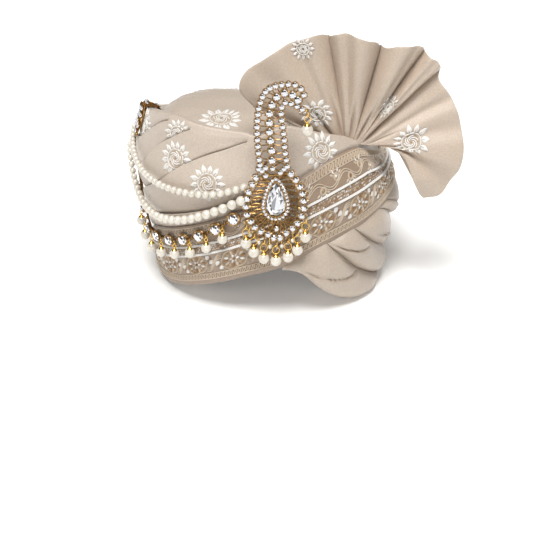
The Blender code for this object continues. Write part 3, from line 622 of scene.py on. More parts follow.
SEAT = 1.6 * MM
WRAP_OUT = 6.3 * MM
WRAP_LOW_OUT = 4.0 * MM
WRAP_CLOTH = 1.3 * MM
FOLD_RADIUS = 1.0 * MM
RIM_RADIUS = 5.4 * MM
TUCK = 4.5 * MM


def arc_length(turn):
    """Metres round the wall for a turn, at mid height."""
    return np.radians(turn) * (HALF_WIDTH + HALF_DEPTH) / 2


def wrap_out(turn, share, seed, above):
    """How far a wrap's outer face stands off the wall; share runs from its low edge to its top."""
    rise = smooth_step(share, 0.0, 0.9)
    groove = 1.5 * MM * np.exp(-(np.maximum(above, 0) / (1.7 * MM)) ** 2)
    soft = ripple(arc_length(turn) * 0.45, share * 0.05, seed)
    fade = np.clip(share * 6, 0, 1) * np.clip((1 - share) * 8, 0, 1)
    return WRAP_LOW_OUT + (WRAP_OUT - WRAP_LOW_OUT) * rise + soft * fade * 0.55 * MM - groove


def wrap_sheet(name, start, end, low, high, seed, node):
    turns = np.linspace(start, end, max(int((end - start) / 1.25), 8) + 1)
    top = wall_top(turns)
    upper = np.minimum(high(turns), top)
    lower = low(turns) - TUCK / WALL_RISE
    lower = np.minimum(lower, upper - 0.01)
    rim = smooth_step(high(turns) - top, -0.02, 0.0)
    shares = np.concatenate((np.linspace(0, 0.3, 15), np.linspace(0.34, 0.92, 12), [0.96, 1.0]))
    sections = []
    for i, turn in enumerate(turns):
        heights = lower[i] + (upper[i] - lower[i]) * shares
        outs = wrap_out(turn, shares, seed, (heights - lower[i]) * WALL_RISE - TUCK)
        outer = wall_point(turn, heights, outs)
        radius = FOLD_RADIUS + (RIM_RADIUS - FOLD_RADIUS) * rim[i]
        edge_face = wall_face(turn, upper[i])
        normal = wall_normal(turn, np.array(upper[i]))
        bends = np.linspace(0, math.pi, 8)[1:]
        fold = np.array([
            edge_face + normal * (outs[-1] - radius + radius * math.cos(bend))
            + np.array([0, 0, 1]) * radius * math.sin(bend) * (0.9 - 0.25 * rim[i])
            for bend in bends
        ])
        inner = wall_point(turn, heights[::-1], np.maximum(outs[::-1] - WRAP_CLOTH, 0.6 * MM))
        sections.append(np.concatenate((outer, fold, inner)))
    soup = Soup()
    soup.loft(np.array(sections))
    piece = flip_check(soup.build(name, [cloth], "cloth", angle=60))
    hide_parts(node)
    float(arc_length(end - start))
    return piece


def below(first, switch, other):
    return lambda turn: np.where(np.asarray(turn) <= switch, first(turn), other(turn))


def floor_edge(turn):
    return np.full(np.shape(turn), 0.012 + TUCK / WALL_RISE)


OPEN_TOP = 1.3


def open_top(turn):
    return np.full(np.shape(turn), OPEN_TOP)


def hidden_top(table_low):
    return lambda turn: np.maximum(table_low(turn), 0.0)


WRAPS = (
    # name, start, end, low edge, high edge, seed
    ("wrap_1", -247.5, -52.0, crease_a, open_top, 1),
    ("wrap_2", -247.5, -36.5, crease_b, below(crease_a, -54, open_top), 2),
    ("wrap_3", -247.5, -7.0, crease_c, below(crease_b, -39, open_top), 3),
    ("wrap_4", -247.5, 55.0, below(crease_d, -7.5, band_high), below(crease_c, -9, open_top), 4),
    ("wrap_5", -247.5, -7.0, below(floor_edge, -121, band_high), crease_d, 5),
)
wrap_pieces = {}
for name, start, end, low, high, seed in WRAPS:
    wrap_pieces[name] = wrap_sheet(name + "_cloth", start, end, low, high, seed, name)


# The wound wall: its inner face, its foot and its lip


def wall_lining():
    turns = np.arange(-180, 180, 2.5)
    sections = []
    for turn in turns:
        angle = math.radians(turn)
        foot = float(wall_foot(turn))
        foot = foot if foot > 0.006 else 0.0
        top = float(wall_top(turn))
        heights = foot + (top - foot) * np.linspace(0.0, 1.0, 15)
        outer = wall_point(turn, heights, 0.0)
        seat = crown_point(np.array(turn), np.array(1.0), -0.4 * MM)
        seat_top = min(0.80 * WALL_RISE, top * WALL_RISE - 5 * MM)
        head = np.array([
            math.sin(angle) * HEAD_HALF_WIDTH + SHIFT[0],
            HEAD_Y - math.cos(angle) * HEAD_HALF_DEPTH + SHIFT[1], 0.0,
        ])
        lip_in = wall_point(turn, np.array(top - 0.02), -LIP_THICKNESS)
        crest = wall_point(turn, np.array(top), -LIP_THICKNESS * 0.5) + np.array([0, 0, 1.6 * MM])
        shelf = CROWN_RIM_Z - 0.4 * MM
        down = np.linspace(shelf, foot * WALL_RISE, 9)
        inner = np.array([[head[0], head[1], z] for z in down])
        bulge = np.sin(np.linspace(0, math.pi, 9))[:, None] * 2.5 * MM
        toward = unit(np.array([[SHIFT[0] - head[0], SHIFT[1] - head[1], 0.0]]))
        inner = inner - toward * bulge
        sections.append(np.concatenate((
            outer, [crest], [lip_in], [[seat[0], seat[1], seat_top]], [[seat[0], seat[1], shelf]],
            inner,
        )))
    soup = Soup()
    soup.grid(np.array(sections), round_rows=True, round_columns=True)
    piece = flip_check(soup.build("wound_wall_lining", [lining], "cloth", angle=60))
    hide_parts("wound_wall")
    return piece


wall_lining()


# The crown


def crown_surface(turn, share, extra=0.0):
    """The dome with its soft wrinkles, as points."""
    turn, share = np.broadcast_arrays(np.asarray(turn, float), np.asarray(share, float))
    base = crown_point(turn, share)
    nudge = crown_point(turn, np.clip(share - 0.02, 0, 1))
    side = crown_point(turn + 1, share) - crown_point(turn - 1, share)
    normal = unit(np.cross(side, nudge - base))
    normal = np.where(np.isfinite(normal), normal, np.array([0, 0, 1.0]))
    normal = normal * np.where(normal[..., 2:] < -0.2, -1, 1)
    gathered = np.sin(np.radians(turn) * 26 + 2 * np.sin(np.radians(turn) * 3))
    gathered = gathered * smooth_step(share, 0.45, 0.95) * (0.5 + 0.5 * np.sin(np.radians(turn * 5)))
    wide = ripple(base[..., 0], base[..., 1], 21, 6)
    lift = gathered * 0.9 * MM + wide * 0.7 * MM * smooth_step(share, 0.05, 0.3)
    return base + normal * (lift + extra)[..., None]


def crown_cloth():
    shares = np.concatenate((np.linspace(1.0, 0.9, 8), np.linspace(0.87, 0.02, 34)))
    turns = np.arange(0, 360, 2.5)
    grid = crown_surface(turns[None], shares[:, None])
    inner = crown_point(turns[None] + 0 * shares[:, None], shares[:, None] + 0 * turns[None], CROWN_CLOTH)
    soup = Soup()
    soup.grid(grid, round_columns=True)
    soup.grid(inner[::-1], round_columns=True)
    rows, columns = grid.shape[:2]
    faces = []
    for j in range(columns):
        k = (j + 1) % columns
        inner_rim = rows * columns + (rows - 1) * columns
        faces.append((k, j, inner_rim + j, inner_rim + k))
    apex_out, apex_in = (rows - 1) * columns, rows * columns
    faces.append(tuple(apex_out + j for j in range(columns)))
    faces.append(tuple(apex_in + j for j in reversed(range(columns))))
    soup.faces.extend(faces)
    soup.looks.extend([0] * len(faces))
    piece = flip_check(soup.build("crown_dome", [cloth], "cloth", angle=70))
    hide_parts("crown")
    return piece


crown_cloth()

# The band and what is worked on it

BAND_OUT = 5.7 * MM
BAND_CLOTH = 1.6 * MM
BAND_START, BAND_END = -120.0, 114.0


def band_face_out(turn):
    """The band stands further off where it ends over the wraps' ends."""
    return BAND_OUT + 1.9 * MM * smooth_step(np.asarray(turn, float), 100, 112)


def band_point(turn, share, out=0.0):
    """Points on the band: share runs from its lower to its upper edge."""
    low, high = band_low(turn), band_high(turn)
    height = low + (high - low) * share
    soft = ripple(arc_length(turn) * 0.4, share * 0.05, 31) * 0.35 * MM
    return wall_point(turn, height, band_face_out(turn) + soft + out)


def band_length_table():
    turns = np.linspace(BAND_START, BAND_END, 600)
    middle = band_point(turns, np.full(turns.shape, 0.5))
    steps = np.linalg.norm(np.diff(middle, axis=0), axis=1)
    return turns, np.concatenate(([0.0], np.cumsum(steps)))


band_turns, band_metres = band_length_table()
BAND_LENGTH = float(band_metres[-1])
BAND_WIDTH = 62 * MM


def band_patch(along, across, out):
    """Points for metres along the band and metres up from its lower edge."""
    turn = np.interp(along, band_metres, band_turns)
    return band_point(turn, np.asarray(across) / BAND_WIDTH, out)


def band_sheet():
    turns = np.linspace(BAND_START, BAND_END, 260)
    shares = np.concatenate(([0.0, 0.006, 0.02, 0.05], np.linspace(0.1, 0.9, 15), [0.95, 0.98, 0.994, 1.0]))
    edge_drop = np.array([1.1, 0.45, 0.1, 0.0] + [0.0] * 15 + [0.0, 0.1, 0.45, 1.1]) * MM
    sections = []
    for turn in turns:
        t = np.full(shares.shape, turn)
        outer = band_point(t, shares, -edge_drop)
        inner = band_point(t, shares[::-1], edge_drop[::-1] * 0.2 - BAND_CLOTH)
        sections.append(np.concatenate((outer, inner)))
    soup = Soup()
    soup.loft(np.array(sections))
    piece = flip_check(soup.build("band_ground_with_painted_shade", [band_cloth_with_painted_shade], "trim", angle=70))
    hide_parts("trim_band")
    return piece


band_piece = band_sheet()


def line(start, end, spacing):
    count = max(int((end - start) / spacing), 2)
    return np.linspace(start, end, count)


def band_line(margin, spacing):
    return line(margin, BAND_LENGTH - margin, spacing)


def chain_row(soup, low, high):
    """A row of slanted links between two fine cords."""
    s = band_line(2 * MM, 2.5 * MM)
    for across in (low, high):
        soup.thread(band_patch, s, np.full(s.shape, across), 0.5 * MM, 5, look=0)
    pitch = 4.3 * MM
    half = (high - low) * 0.40
    middle = (low + high) / 2
    angle = np.arange(12) * 2 * math.pi / 12
    for i in range(int((BAND_LENGTH - 7 * MM) / pitch)):
        centre = 3.5 * MM + i * pitch
        x = centre + np.cos(angle) * 1.25 * MM + np.sin(angle) * 1.0 * MM
        y = middle + np.sin(angle) * half
        soup.thread(band_patch, x, y, 0.48 * MM, 5, closed=True, look=0)
        soup.leaf(band_patch, centre + 1.5 * MM, middle - 1.5 * MM, 3.2 * MM, 1.5 * MM, 1.2, 0.4 * MM, 3, 2)


def vine(soup, middle, swing, length):
    """Two fine lines that wind along the band, with ringed sequins and leaves in their bends."""
    s = band_line(4 * MM, 1.8 * MM)
    for offset in (-0.85 * MM, 0.85 * MM):
        y = middle + np.sin(s / length * 2 * math.pi) * swing + offset
        soup.thread(band_patch, s, y, 0.5 * MM, 5, look=0)
    angle = np.arange(14) * 2 * math.pi / 14
    for i in range(int((BAND_LENGTH - 12 * MM) / (length / 2))):
        x = 6 * MM + (i + 0.5) * length / 2
        side = -1 if math.sin(x / length * 2 * math.pi) > 0 else 1
        y = middle + side * swing * 0.62
        for radius in (3.1 * MM, 2.2 * MM):
            soup.thread(
                band_patch, x + np.cos(angle) * radius, y + np.sin(angle) * radius * 0.85, 0.42 * MM, 5,
                closed=True, look=0,
            )
        soup.leaf(band_patch, x - 1.4 * MM, y, 2.8 * MM, 2.2 * MM, 0.3, 0.7 * MM, look=1 + i % 3, rows=4)
        for turn, look in ((0.45, 0), (1.0, 2), (2.15, 2), (2.7, 0)):
            soup.leaf(
                band_patch, x + math.cos(turn) * 3.6 * MM, y + side * math.sin(turn) * 3.0 * MM,
                4.0 * MM, 1.9 * MM, turn * side, 0.6 * MM, look=look, rows=4,
            )


def cords(soup):
    """The two white twisted cords with a strip of sequins between them."""
    s = band_line(1.5 * MM, 0.6 * MM)
    for across in (32.2 * MM, 41.6 * MM):
        twist = 1.12 * MM * (1 + 0.16 * np.sin(s / (1.9 * MM) * 2 * math.pi))
        soup.thread(band_patch, s, np.full(s.shape, across), twist, 5, look=2)
    rng = np.random.default_rng(7)
    pitch = 2.0 * MM
    for i in range(int((BAND_LENGTH - 5 * MM) / pitch)):
        for row in range(3):
            look = int(rng.choice([0, 0, 1, 2, 3, 3]))
            soup.leaf(
                band_patch, 2.0 * MM + i * pitch + (row % 2) * 0.9 * MM, (34.7 + row * 2.2) * MM,
                1.9 * MM, 1.9 * MM, float(rng.uniform(-0.6, 0.6)), rise=0.55 * MM, look=look, rows=2,
            )


def medallion_unit(soup, centre, middle):
    """A round flower of leaves and sequins inside an oval of lines."""
    angle = np.arange(26) * 2 * math.pi / 26
    for wide, high, look in ((13.0, 9.6, 0), (11.8, 8.6, 1)):
        wave = 1 + 0.05 * np.sin(angle * 6)
        soup.thread(
            band_patch, centre + np.cos(angle) * wide * wave * MM,
            middle + np.sin(angle) * high * wave * MM, 0.46 * MM, 5, closed=True, look=look,
        )
    for i in range(14):
        turn = i * 2 * math.pi / 14 + 0.15
        soup.leaf(
            band_patch, centre + math.cos(turn) * 6.0 * MM, middle + math.sin(turn) * 4.3 * MM,
            4.9 * MM, 2.7 * MM, turn, 0.8 * MM, look=(3, 0, 1, 3, 0, 1, 2)[i % 7], rows=5,
        )
    for i in range(6):
        turn = i * 2 * math.pi / 6
        soup.leaf(
            band_patch, centre + math.cos(turn) * 1.3 * MM, middle + math.sin(turn) * 1.1 * MM,
            3.6 * MM, 2.2 * MM, turn, 0.8 * MM, look=(2, 0)[i % 2], rows=4,
        )
    soup.leaf(band_patch, centre - 1.3 * MM, middle, 2.6 * MM, 2.4 * MM, 0.0, 1.1 * MM, look=3, rows=3)


def diamonds(soup, x, y, lean):
    """Two white diamonds either side of a brown bar."""
    along = np.array([math.cos(lean), math.sin(lean)])
    for side in (-1, 1):
        start = np.array([x, y]) + along * side * 0.75 * MM
        soup.leaf(
            band_patch, start[0], start[1], 5.0 * MM, 5.2 * MM, lean if side > 0 else lean + math.pi,
            0.7 * MM, look=2, rows=4,
        )
    across = np.array([-along[1], along[0]]) * 2.3 * MM
    soup.thread(
        band_patch, np.linspace(x - across[0], x + across[0], 4),
        np.linspace(y - across[1], y + across[1], 4), 0.55 * MM, 5, look=3, lift=0.3 * MM,
    )


def wave_unit(soup, start, end, middle):
    """Four lines that swing from one side of the row to the other, between pairs of diamonds."""
    s = line(start - 3 * MM, end + 3 * MM, 1.0 * MM)
    share = np.clip((s - start) / (end - start), 0, 1)
    for k in range(4):
        y = middle - np.cos(share * math.pi) * 5.6 * MM + (k - 1.5) * 1.5 * MM
        soup.thread(band_patch, s, y, 0.5 * MM, 5, look=0)
    diamonds(soup, start - 0.5 * MM, middle + 3.6 * MM, 2.3)
    diamonds(soup, end + 0.5 * MM, middle - 3.6 * MM, 2.3)


band_threads = Soup()
chain_row(band_threads, 5.6 * MM, 11.0 * MM)
chain_row(band_threads, 54.6 * MM, 60.2 * MM)
vine(band_threads, 48.0 * MM, 3.3 * MM, 32 * MM)
cords(band_threads)
UNIT = 41 * MM
WIDE_ROW = 21.6 * MM
for i in range(int(BAND_LENGTH / UNIT)):
    first = i * UNIT + 13 * MM
    medallion_unit(band_threads, first, WIDE_ROW)
    if first + UNIT < BAND_LENGTH:
        wave_unit(band_threads, first + 15.5 * MM, first + UNIT - 15.5 * MM, WIDE_ROW)
band_work = band_threads.build(
    "band_embroidery", [cream_thread, gold_thread, white_thread, brown_sequin], "trim", angle=60,
)

# The sunburst motifs


def patch_on(surface, p, q, spin=0.0, size=1.0):
    """Metres across and up from a point of a surface, as points; out is off the surface."""
    step_p, step_q = 0.5, 0.01
    along = (surface(p + step_p, q, 0.0) - surface(p - step_p, q, 0.0)) / (2 * step_p)
    upward = (surface(p, q + step_q, 0.0) - surface(p, q - step_q, 0.0)) / (2 * step_q)
    scale_p, scale_q = np.linalg.norm(along), np.linalg.norm(upward)
    skew = float(np.dot(along, upward) / (scale_p * scale_q))

    def patch(x, y, out):
        x, y = np.asarray(x, float) * size, np.asarray(y, float) * size
        right = x * math.cos(spin) - y * math.sin(spin)
        up = x * math.sin(spin) + y * math.cos(spin)
        q_shift = up / math.sqrt(max(1 - skew**2, 0.2))
        p_shift = right - q_shift * skew
        return surface(p + p_shift / scale_p, q + q_shift / scale_q, out)

    return patch


def sunburst(soup, patch, petals=13):
    angle = np.arange(26) * 2 * math.pi / 26
    for radius, look, thick in ((8.8, 0, 0.6), (7.6, 1, 0.45)):
        soup.thread(
            patch, np.cos(angle) * radius * MM, np.sin(angle) * radius * MM, thick * MM, 4,
            closed=True, look=look,
        )
    for i in range(petals):
        turn = i * 2 * math.pi / petals
        reach = (7.6 if i % 2 else 8.6) * MM
        soup.leaf(
            patch, math.cos(turn) * 9.0 * MM, math.sin(turn) * 9.0 * MM, reach, 4.7 * MM, turn + 0.12,
            rise=0.8 * MM, look=0,
        )
        soup.thread(
            patch, np.cos(turn) * np.linspace(9.0, 12.5, 4) * MM,
            np.sin(turn) * np.linspace(9.0, 12.5, 4) * MM, 0.3 * MM, 4, look=2, lift=0.6 * MM,
        )
    for i in range(9):
        turn = i * 2 * math.pi / 9
        soup.leaf(
            patch, math.cos(turn) * 2.4 * MM, math.sin(turn) * 2.4 * MM, 4.4 * MM, 2.6 * MM, turn + 0.5,
            rise=0.4 * MM, look=2, rows=3,
        )
    for i in range(6):
        turn = i * 2 * math.pi / 6 + 0.4
        bend = np.linspace(0, 1, 9)
        curl = turn + bend * 2.2
        radius = (2.0 + bend * 4.4) * MM
        soup.thread(patch, np.cos(curl) * radius, np.sin(curl) * radius, 0.6 * MM, 5, look=0)
        soup.leaf(
            patch, math.cos(turn + 1.6) * 3.6 * MM, math.sin(turn + 1.6) * 3.6 * MM, 3.0 * MM,
            1.8 * MM, turn + 1.9, look=1, rows=3,
        )
    soup.leaf(patch, -1.3 * MM, 0, 2.6 * MM, 2.2 * MM, 0.0, look=2, rows=3)


def wrap_surface(low, high, seed):
    """The outer face of one wrap, as a surface of turn and height."""

    def surface(turn, height, out):
        turn, height = np.asarray(turn, float), np.asarray(height, float)
        upper = np.minimum(high(turn), wall_top(turn))
        lower = low(turn) - TUCK / WALL_RISE
        share = (height - lower) / np.maximum(upper - lower, 0.01)
        over = np.maximum(share - 1, 0)
        above = np.clip(height - lower, 0, upper - lower) * WALL_RISE - TUCK
        stand = wrap_out(turn, np.clip(share, 0, 1), seed, above)
        return wall_point(turn, height, stand - over * 2 * MM + out)

    return surface


def crown_out_surface(turn, share, out):
    turn, share = np.broadcast_arrays(np.asarray(turn, float), np.asarray(share, float))
    return crown_surface(turn, np.clip(share, 0.02, 1.0), np.broadcast_to(np.asarray(out, float), turn.shape))


surfaces = {name: wrap_surface(low, high, seed) for name, _, _, low, high, seed in WRAPS}
SEEN_MOTIFS = (
    # wrap, pixel of the photograph, spin, size
    ("wrap_1", 146.0, 124.0, 0.4, 0.85),
    ("wrap_2", 177.5, 133.5, 0.3, 0.9),
    ("wrap_3", 175.5, 158.5, 0.1, 0.95),
    ("wrap_4", 207.0, 183.5, 0.0, 0.95),
    ("wrap_4", 321.0, 151.5, 0.2, 0.98),
)
HIDDEN_MOTIFS = (
    # wrap, turn, height, spin, size
    ("wrap_3", -100.0, 0.50, 0.2, 1.0),
    ("wrap_4", -118.0, 0.27, 0.1, 1.0),
    ("wrap_2", -128.0, 0.56, 0.0, 1.0),
    ("wrap_4", -158.0, 0.22, 0.3, 1.0),
    ("wrap_3", -172.0, 0.38, 0.1, 1.0),
    ("wrap_1", -160.0, 0.66, 0.2, 0.9),
    ("wrap_2", -205.0, 0.53, 0.0, 1.0),
    ("wrap_4", -212.0, 0.24, 0.2, 1.0),
    ("wrap_3", -236.0, 0.42, 0.1, 0.9),
    ("wrap_5", -190.0, 0.125, 0.1, 0.8),
    ("wrap_5", -238.0, 0.13, 0.1, 0.8),
)
CROWN_MOTIFS = (
    # turn, share, spin
    (35.0, 0.55, 0.2), (-140.0, 0.85, 0.4), (-165.0, 0.62, 0.1), (110.0, 0.62, 0.3), (165.0, 0.64, 0.6),
)
DOME_MOTIF_PX = (221.5, 118.5)
motifs = Soup()
for name, u, v, spin, size in SEEN_MOTIFS:
    turn, height = spot_at(surfaces[name], u, v, (-100, 50), (0.3, 1.08))
    sunburst(motifs, patch_on(surfaces[name], turn, height, spin, size))
for name, turn, height, spin, size in HIDDEN_MOTIFS:
    sunburst(motifs, patch_on(surfaces[name], turn, height, spin, size))
for turn, share, spin in CROWN_MOTIFS:
    sunburst(motifs, patch_on(crown_out_surface, turn, share, spin))
turn, share = spot_at(crown_out_surface, *DOME_MOTIF_PX, (-80, -5), (0.1, 0.9))
sunburst(motifs, patch_on(crown_out_surface, turn, share, 0.0, 1.12))
motifs.build("sunburst_motifs", [white_thread, cream_thread, gold_thread], "trim", angle=60)

# The rolls under the band on the right

ROLL_LIFT = 11.5 * MM
BOUND_1_2_PX = ((325.7, 244), (334, 250), (343, 256.3), (355.3, 266.3), (366, 271), (376, 271))
BOUND_2_3_PX = ((353.3, 228.8), (363.5, 235), (374, 241.6), (382.4, 243.4))
BOUND_3_4_PX = ((378.8, 210.4), (384, 213.2), (388, 214.6))
CREASE_1_PX = ((300, 269.6), (320.6, 276.2), (343, 276.7), (356.3, 270.8))
CREASE_2_PX = ((331, 245.8), (346, 248.9), (359.4, 248.9), (367.6, 246.2))
CREASE_3_PX = ((371.6, 233.9), (381.8, 232.9), (388, 229))
CREASE_4_PX = ((383, 203), (389, 203.5), (392, 201))


def roll_seat(turn, height, out):
    return wall_point(turn, height, SEAT + ROLL_LIFT * 0.6 + np.asarray(out))


def seen_curve(pixels):
    """A line drawn on the photograph, as heights for turns on the rolls, and its turns' range."""
    spots = sorted(spot_at(roll_seat, u, v, (0, 100), (0.0, 0.65)) for u, v in pixels)
    return curve(spots), spots[0][0], spots[-1][0]


def bound_height(pixels):
    line_height, first, last = seen_curve(pixels)

    def read(turn):
        turn = np.asarray(turn, float)
        height = line_height(turn) + np.maximum(turn - last, 0) * 0.0012
        return np.where(turn < first, 9.0, height)

    return read, first


bound_12, start_12 = bound_height(BOUND_1_2_PX)
bound_23, start_23 = bound_height(BOUND_2_3_PX)
bound_34, start_34 = bound_height(BOUND_3_4_PX)


def capped(bound):
    return lambda turn: np.minimum(bound(turn), band_low(turn) + 0.012)


def roll_floor(turn):
    return np.where(np.asarray(turn) > 70, 0.012, curve(ROLL_FOOT)(turn))


ROLLS = (
    # name, start, end, low edge, high edge, crease, lift share
    ("side_roll_1", 7.0, 76.0, roll_floor, capped(bound_12), CREASE_1_PX, 1.0),
    ("side_roll_2", start_12, 83.0, bound_12, capped(bound_23), CREASE_2_PX, 1.0),
    ("side_roll_3", start_23, 90.0, bound_23, capped(bound_34), CREASE_3_PX, 0.9),
    ("side_roll_4", start_34, 97.0, bound_34, capped(lambda turn: np.full(np.shape(turn), 9.0)), CREASE_4_PX, 0.7),
    ("side_roll_5", 67.0, 112.5, lambda turn: np.full(np.shape(turn), 0.012), curve(HEEL_TOP), None, 0.4),
)


def roll_out(turn, share, tall, start, end, lift):
    """How far a roll stands off the wall: full below, tucked under the next roll above."""
    along = (turn - start) / (end - start)
    room = np.sqrt(np.clip(tall / (20 * MM), 0, 1))
    swell = np.sqrt(np.clip(1 - (1 - np.clip(share / 0.30, 0, 1)) ** 2, 0, 1))
    swell = swell * (1 - 0.72 * np.clip((share - 0.30) / 0.70, 0, 1) ** 2.4)
    ends = np.sqrt(np.clip(1 - np.clip(along, 0, 1) ** 9, 0, 1)) * (0.55 + 0.45 * smooth_step(along, 0, 0.3))
    return 1.0 * MM + ROLL_LIFT * lift * swell * ends * (0.25 + 0.75 * room)


roll_pieces = []
for name, start, end, low, high, crease_px, lift in ROLLS:
    crease = seen_curve(crease_px) if crease_px else None
    turns = np.linspace(start, end, int((end - start) / 0.7))
    shares = 0.5 - 0.5 * np.cos(np.linspace(0, math.pi, 31))
    sections = []
    for turn in turns:
        foot = float(low(turn))
        top = max(float(high(turn)), foot + 0.006)
        tall = (top - foot) * WALL_RISE
        heights = foot + (top - foot) * shares
        outs = roll_out(turn, shares, tall, start, end, lift)
        if crease:
            line_height, first, last = crease
            away = (heights - float(line_height(turn))) * WALL_RISE
            fade = float(smooth_step(turn, first - 1, first + 7) * (1 - smooth_step(turn, last - 1, last + 1.5)))
            edges = np.clip(shares * 8, 0, 1) * np.clip((1 - shares) * 8, 0, 1)
            outs = outs - np.exp(-(away / (0.9 * MM)) ** 2) * 2.6 * MM * fade * edges
            outs = outs + np.exp(-((away + 2.6 * MM) / (1.8 * MM)) ** 2) * 1.1 * MM * fade * edges
            outs = outs + (0.5 + 0.5 * np.tanh(away / (2 * MM))) * 0.9 * MM * fade * edges * (1 - shares)
        soft = ripple(arc_length(turn) * 0.5, heights * 0.07, int(start * 7) + 3, 4) * 0.35 * MM
        outs = outs + soft * np.clip(shares * 6, 0, 1) * np.clip((1 - shares) * 6, 0, 1)
        outer = wall_point(turn, heights, SEAT + outs)
        inner = wall_point(turn, heights[::-1], 0.8 * MM)
        sections.append(np.concatenate((outer, inner[1:-1])))
    soup = Soup()
    soup.loft(np.array(sections))
    piece = flip_check(soup.build(name + "_cloth", [roll_cloth_painted_shade], "cloth", angle=60))
    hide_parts(name)
    roll_pieces.append(piece)

# The fan

FAN_TURN = 56
FAN_X = 76 * MM
FAN_Y = -60 * MM
FAN_RADIUS = 117 * MM
FAN_LEAN = 5.0
FAN_FOOT_RISE = 2.2 * MM
FAN_CLOTH = 1.4 * MM
FAN = (
    # angle, reach as a share of FAN_RADIUS
    (-39, 0.66), (-32, 0.73), (-22, 0.75), (-12, 0.775), (0, 0.785), (10, 0.78), (20, 0.785),
    (32, 0.78), (38, 0.775), (41, 0.79), (43.5, 0.84), (48, 0.87), (52, 0.86), (55, 0.862),
    (57.5, 0.885), (63, 0.865), (69, 0.83), (74, 0.775), (77, 0.77), (79.5, 0.80), (85, 0.82),
    (90, 0.845), (95, 0.865), (100, 0.86), (104, 0.845), (106.5, 0.87), (111, 0.89), (117, 0.905),
    (121, 0.92), (128, 0.94), (136, 0.96), (143, 0.99), (149, 0.98), (153, 0.93), (157, 0.80),
)
FAN_LOBES = (
    # lower valley, upper valley, height of the fold in mm
    (-72, 43, 20), (43, 55.5, 15), (55.5, 76.5, 20), (76.5, 104, 21), (104, 172, 21),
)
FAN_DENTS = (
    # angle, depth in mm, width in degrees
    (-20, 6, 7), (12, 4.0, 6), (28, 4, 4), (95, 6, 3.4), (60.5, 4, 2.4), (48.5, 3.5, 2.0), (121, 6, 5), (140, 2.5, 6),
)
FAN_VALLEY = 9.0 * MM
GATHER_HALF = 11.5 * MM
PLEAT_PITCH = 11.0
fan_reach = curve(FAN, 1)
fan_bend = curve(((0, 0.15), (0.2, 0.2), (0.42, 0.40), (0.65, 0.76), (0.9, 0.97), (1.0, 1.0)))
FAN_FOOT = np.array([
    FAN_X + SHIFT[0], FAN_Y + SHIFT[1], float(wall_top(FAN_TURN)) * WALL_RISE + FAN_FOOT_RISE,
])


def fan_fold(angle):
    """How far the fan's cloth comes forward at its rim: round folds between sharp valleys."""
    depth = np.full(np.shape(angle), -FAN_VALLEY)
    for low, high, height in FAN_LOBES:
        t = (angle - low) / (high - low)
        inside = (t > 0) & (t < 1)
        depth = depth + np.where(inside, np.sin(math.pi * np.clip(t, 0, 1)) ** 0.62, 0) * height * MM
    for middle, dent, width in FAN_DENTS:
        depth = depth - np.exp(-((angle - middle) / width) ** 2) * dent * MM
    return depth


def fan_point(angle, share, out=0.0):
    """Points of the fan: share runs from its gathered foot to its rim."""
    angle, share, out = np.broadcast_arrays(
        np.asarray(angle, float), np.asarray(share, float), np.asarray(out, float),
    )
    radius = share * FAN_RADIUS * fan_reach(angle)
    spread = GATHER_HALF * np.clip((62 - angle) / 55, -1.2, 1.0)
    spread = (spread + 11 * MM * smooth_step(-angle, -12, 36)) * np.clip(1 - share, 0, 1) ** 1.5
    slope = np.where(angle < 0, angle * fan_bend(share), angle)
    fold = fan_fold(angle) * smooth_step(share, 0.0, 0.75) ** 0.8
    pleat = np.abs(np.sin(np.radians(angle) * 90 / PLEAT_PITCH)) ** 0.7 - 0.6
    tight = np.exp(-((share - 0.22) / 0.2) ** 2) * (0.45 + 0.55 * smooth_step(angle, 20, 50))
    fold = fold + pleat * 6.6 * MM * tight * smooth_step(share, 0.0, 0.12)
    soft = ripple(np.radians(angle) * 0.09, share * 0.1, 41, 4) * 1.1 * MM * smooth_step(share, 0.3, 0.7)
    flat_x = np.cos(np.radians(slope)) * radius + spread
    flat_z = np.sin(np.radians(slope)) * radius
    curl = 9 * MM * smooth_step(share, 0.7, 1.0) * smooth_step(-angle, 10, 39)
    flat_y = -fold - soft - out + curl
    lean = math.radians(FAN_LEAN)
    y = flat_y * math.cos(lean) + flat_z * math.sin(lean)
    z = -flat_y * math.sin(lean) + flat_z * math.cos(lean)
    return np.stack((flat_x, y, z), -1) + FAN_FOOT


def fan_sheet():
    angles = np.linspace(FAN[0][0], FAN[-1][0], 400)
    shares = np.concatenate((np.linspace(0.02, 0.3, 16), np.linspace(0.33, 0.97, 30), [0.985, 0.995, 1.0]))
    thick = np.full(shares.shape, FAN_CLOTH)
    thick[-3:] = np.array([1.2, 0.8, 0.2]) * MM
    front = fan_point(angles[:, None], shares[None], thick[None] / 2)
    back = fan_point(angles[:, None], shares[None], -thick[None] / 2)
    sections = np.concatenate((front, back[:, ::-1]), 1)
    soup = Soup()
    soup.loft(sections)
    piece = flip_check(soup.build("fan_cloth_partly_painted_shade", [fan_cloth_partly_painted_shade], "cloth", angle=75))
    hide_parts("fan")
    return piece


fan_piece = fan_sheet()
fan_motifs = Soup()
FAN_MOTIFS = (
    # pixel of the photograph, spin, size
    (317.0, 114.0, 0.3, 0.85), (388.0, 107.0, 0.4, 0.7), (411.0, 142.0, 0.1, 0.95), (303.0, 49.0, 0.2, 0.6),
)


def fan_face(angle, share, out):
    return fan_point(angle, share, np.asarray(out) + FAN_CLOTH / 2 + 0.3 * MM)


for u, v, spin, size in FAN_MOTIFS:
    angle, share = spot_at(fan_face, u, v, (-30, 155), (0.2, 1.0))
    sunburst(fan_motifs, patch_on(fan_face, angle, share, spin, size), petals=12)
fan_motifs.build("fan_motifs", [white_thread, cream_thread, gold_thread], "trim", angle=60)

# The pearls


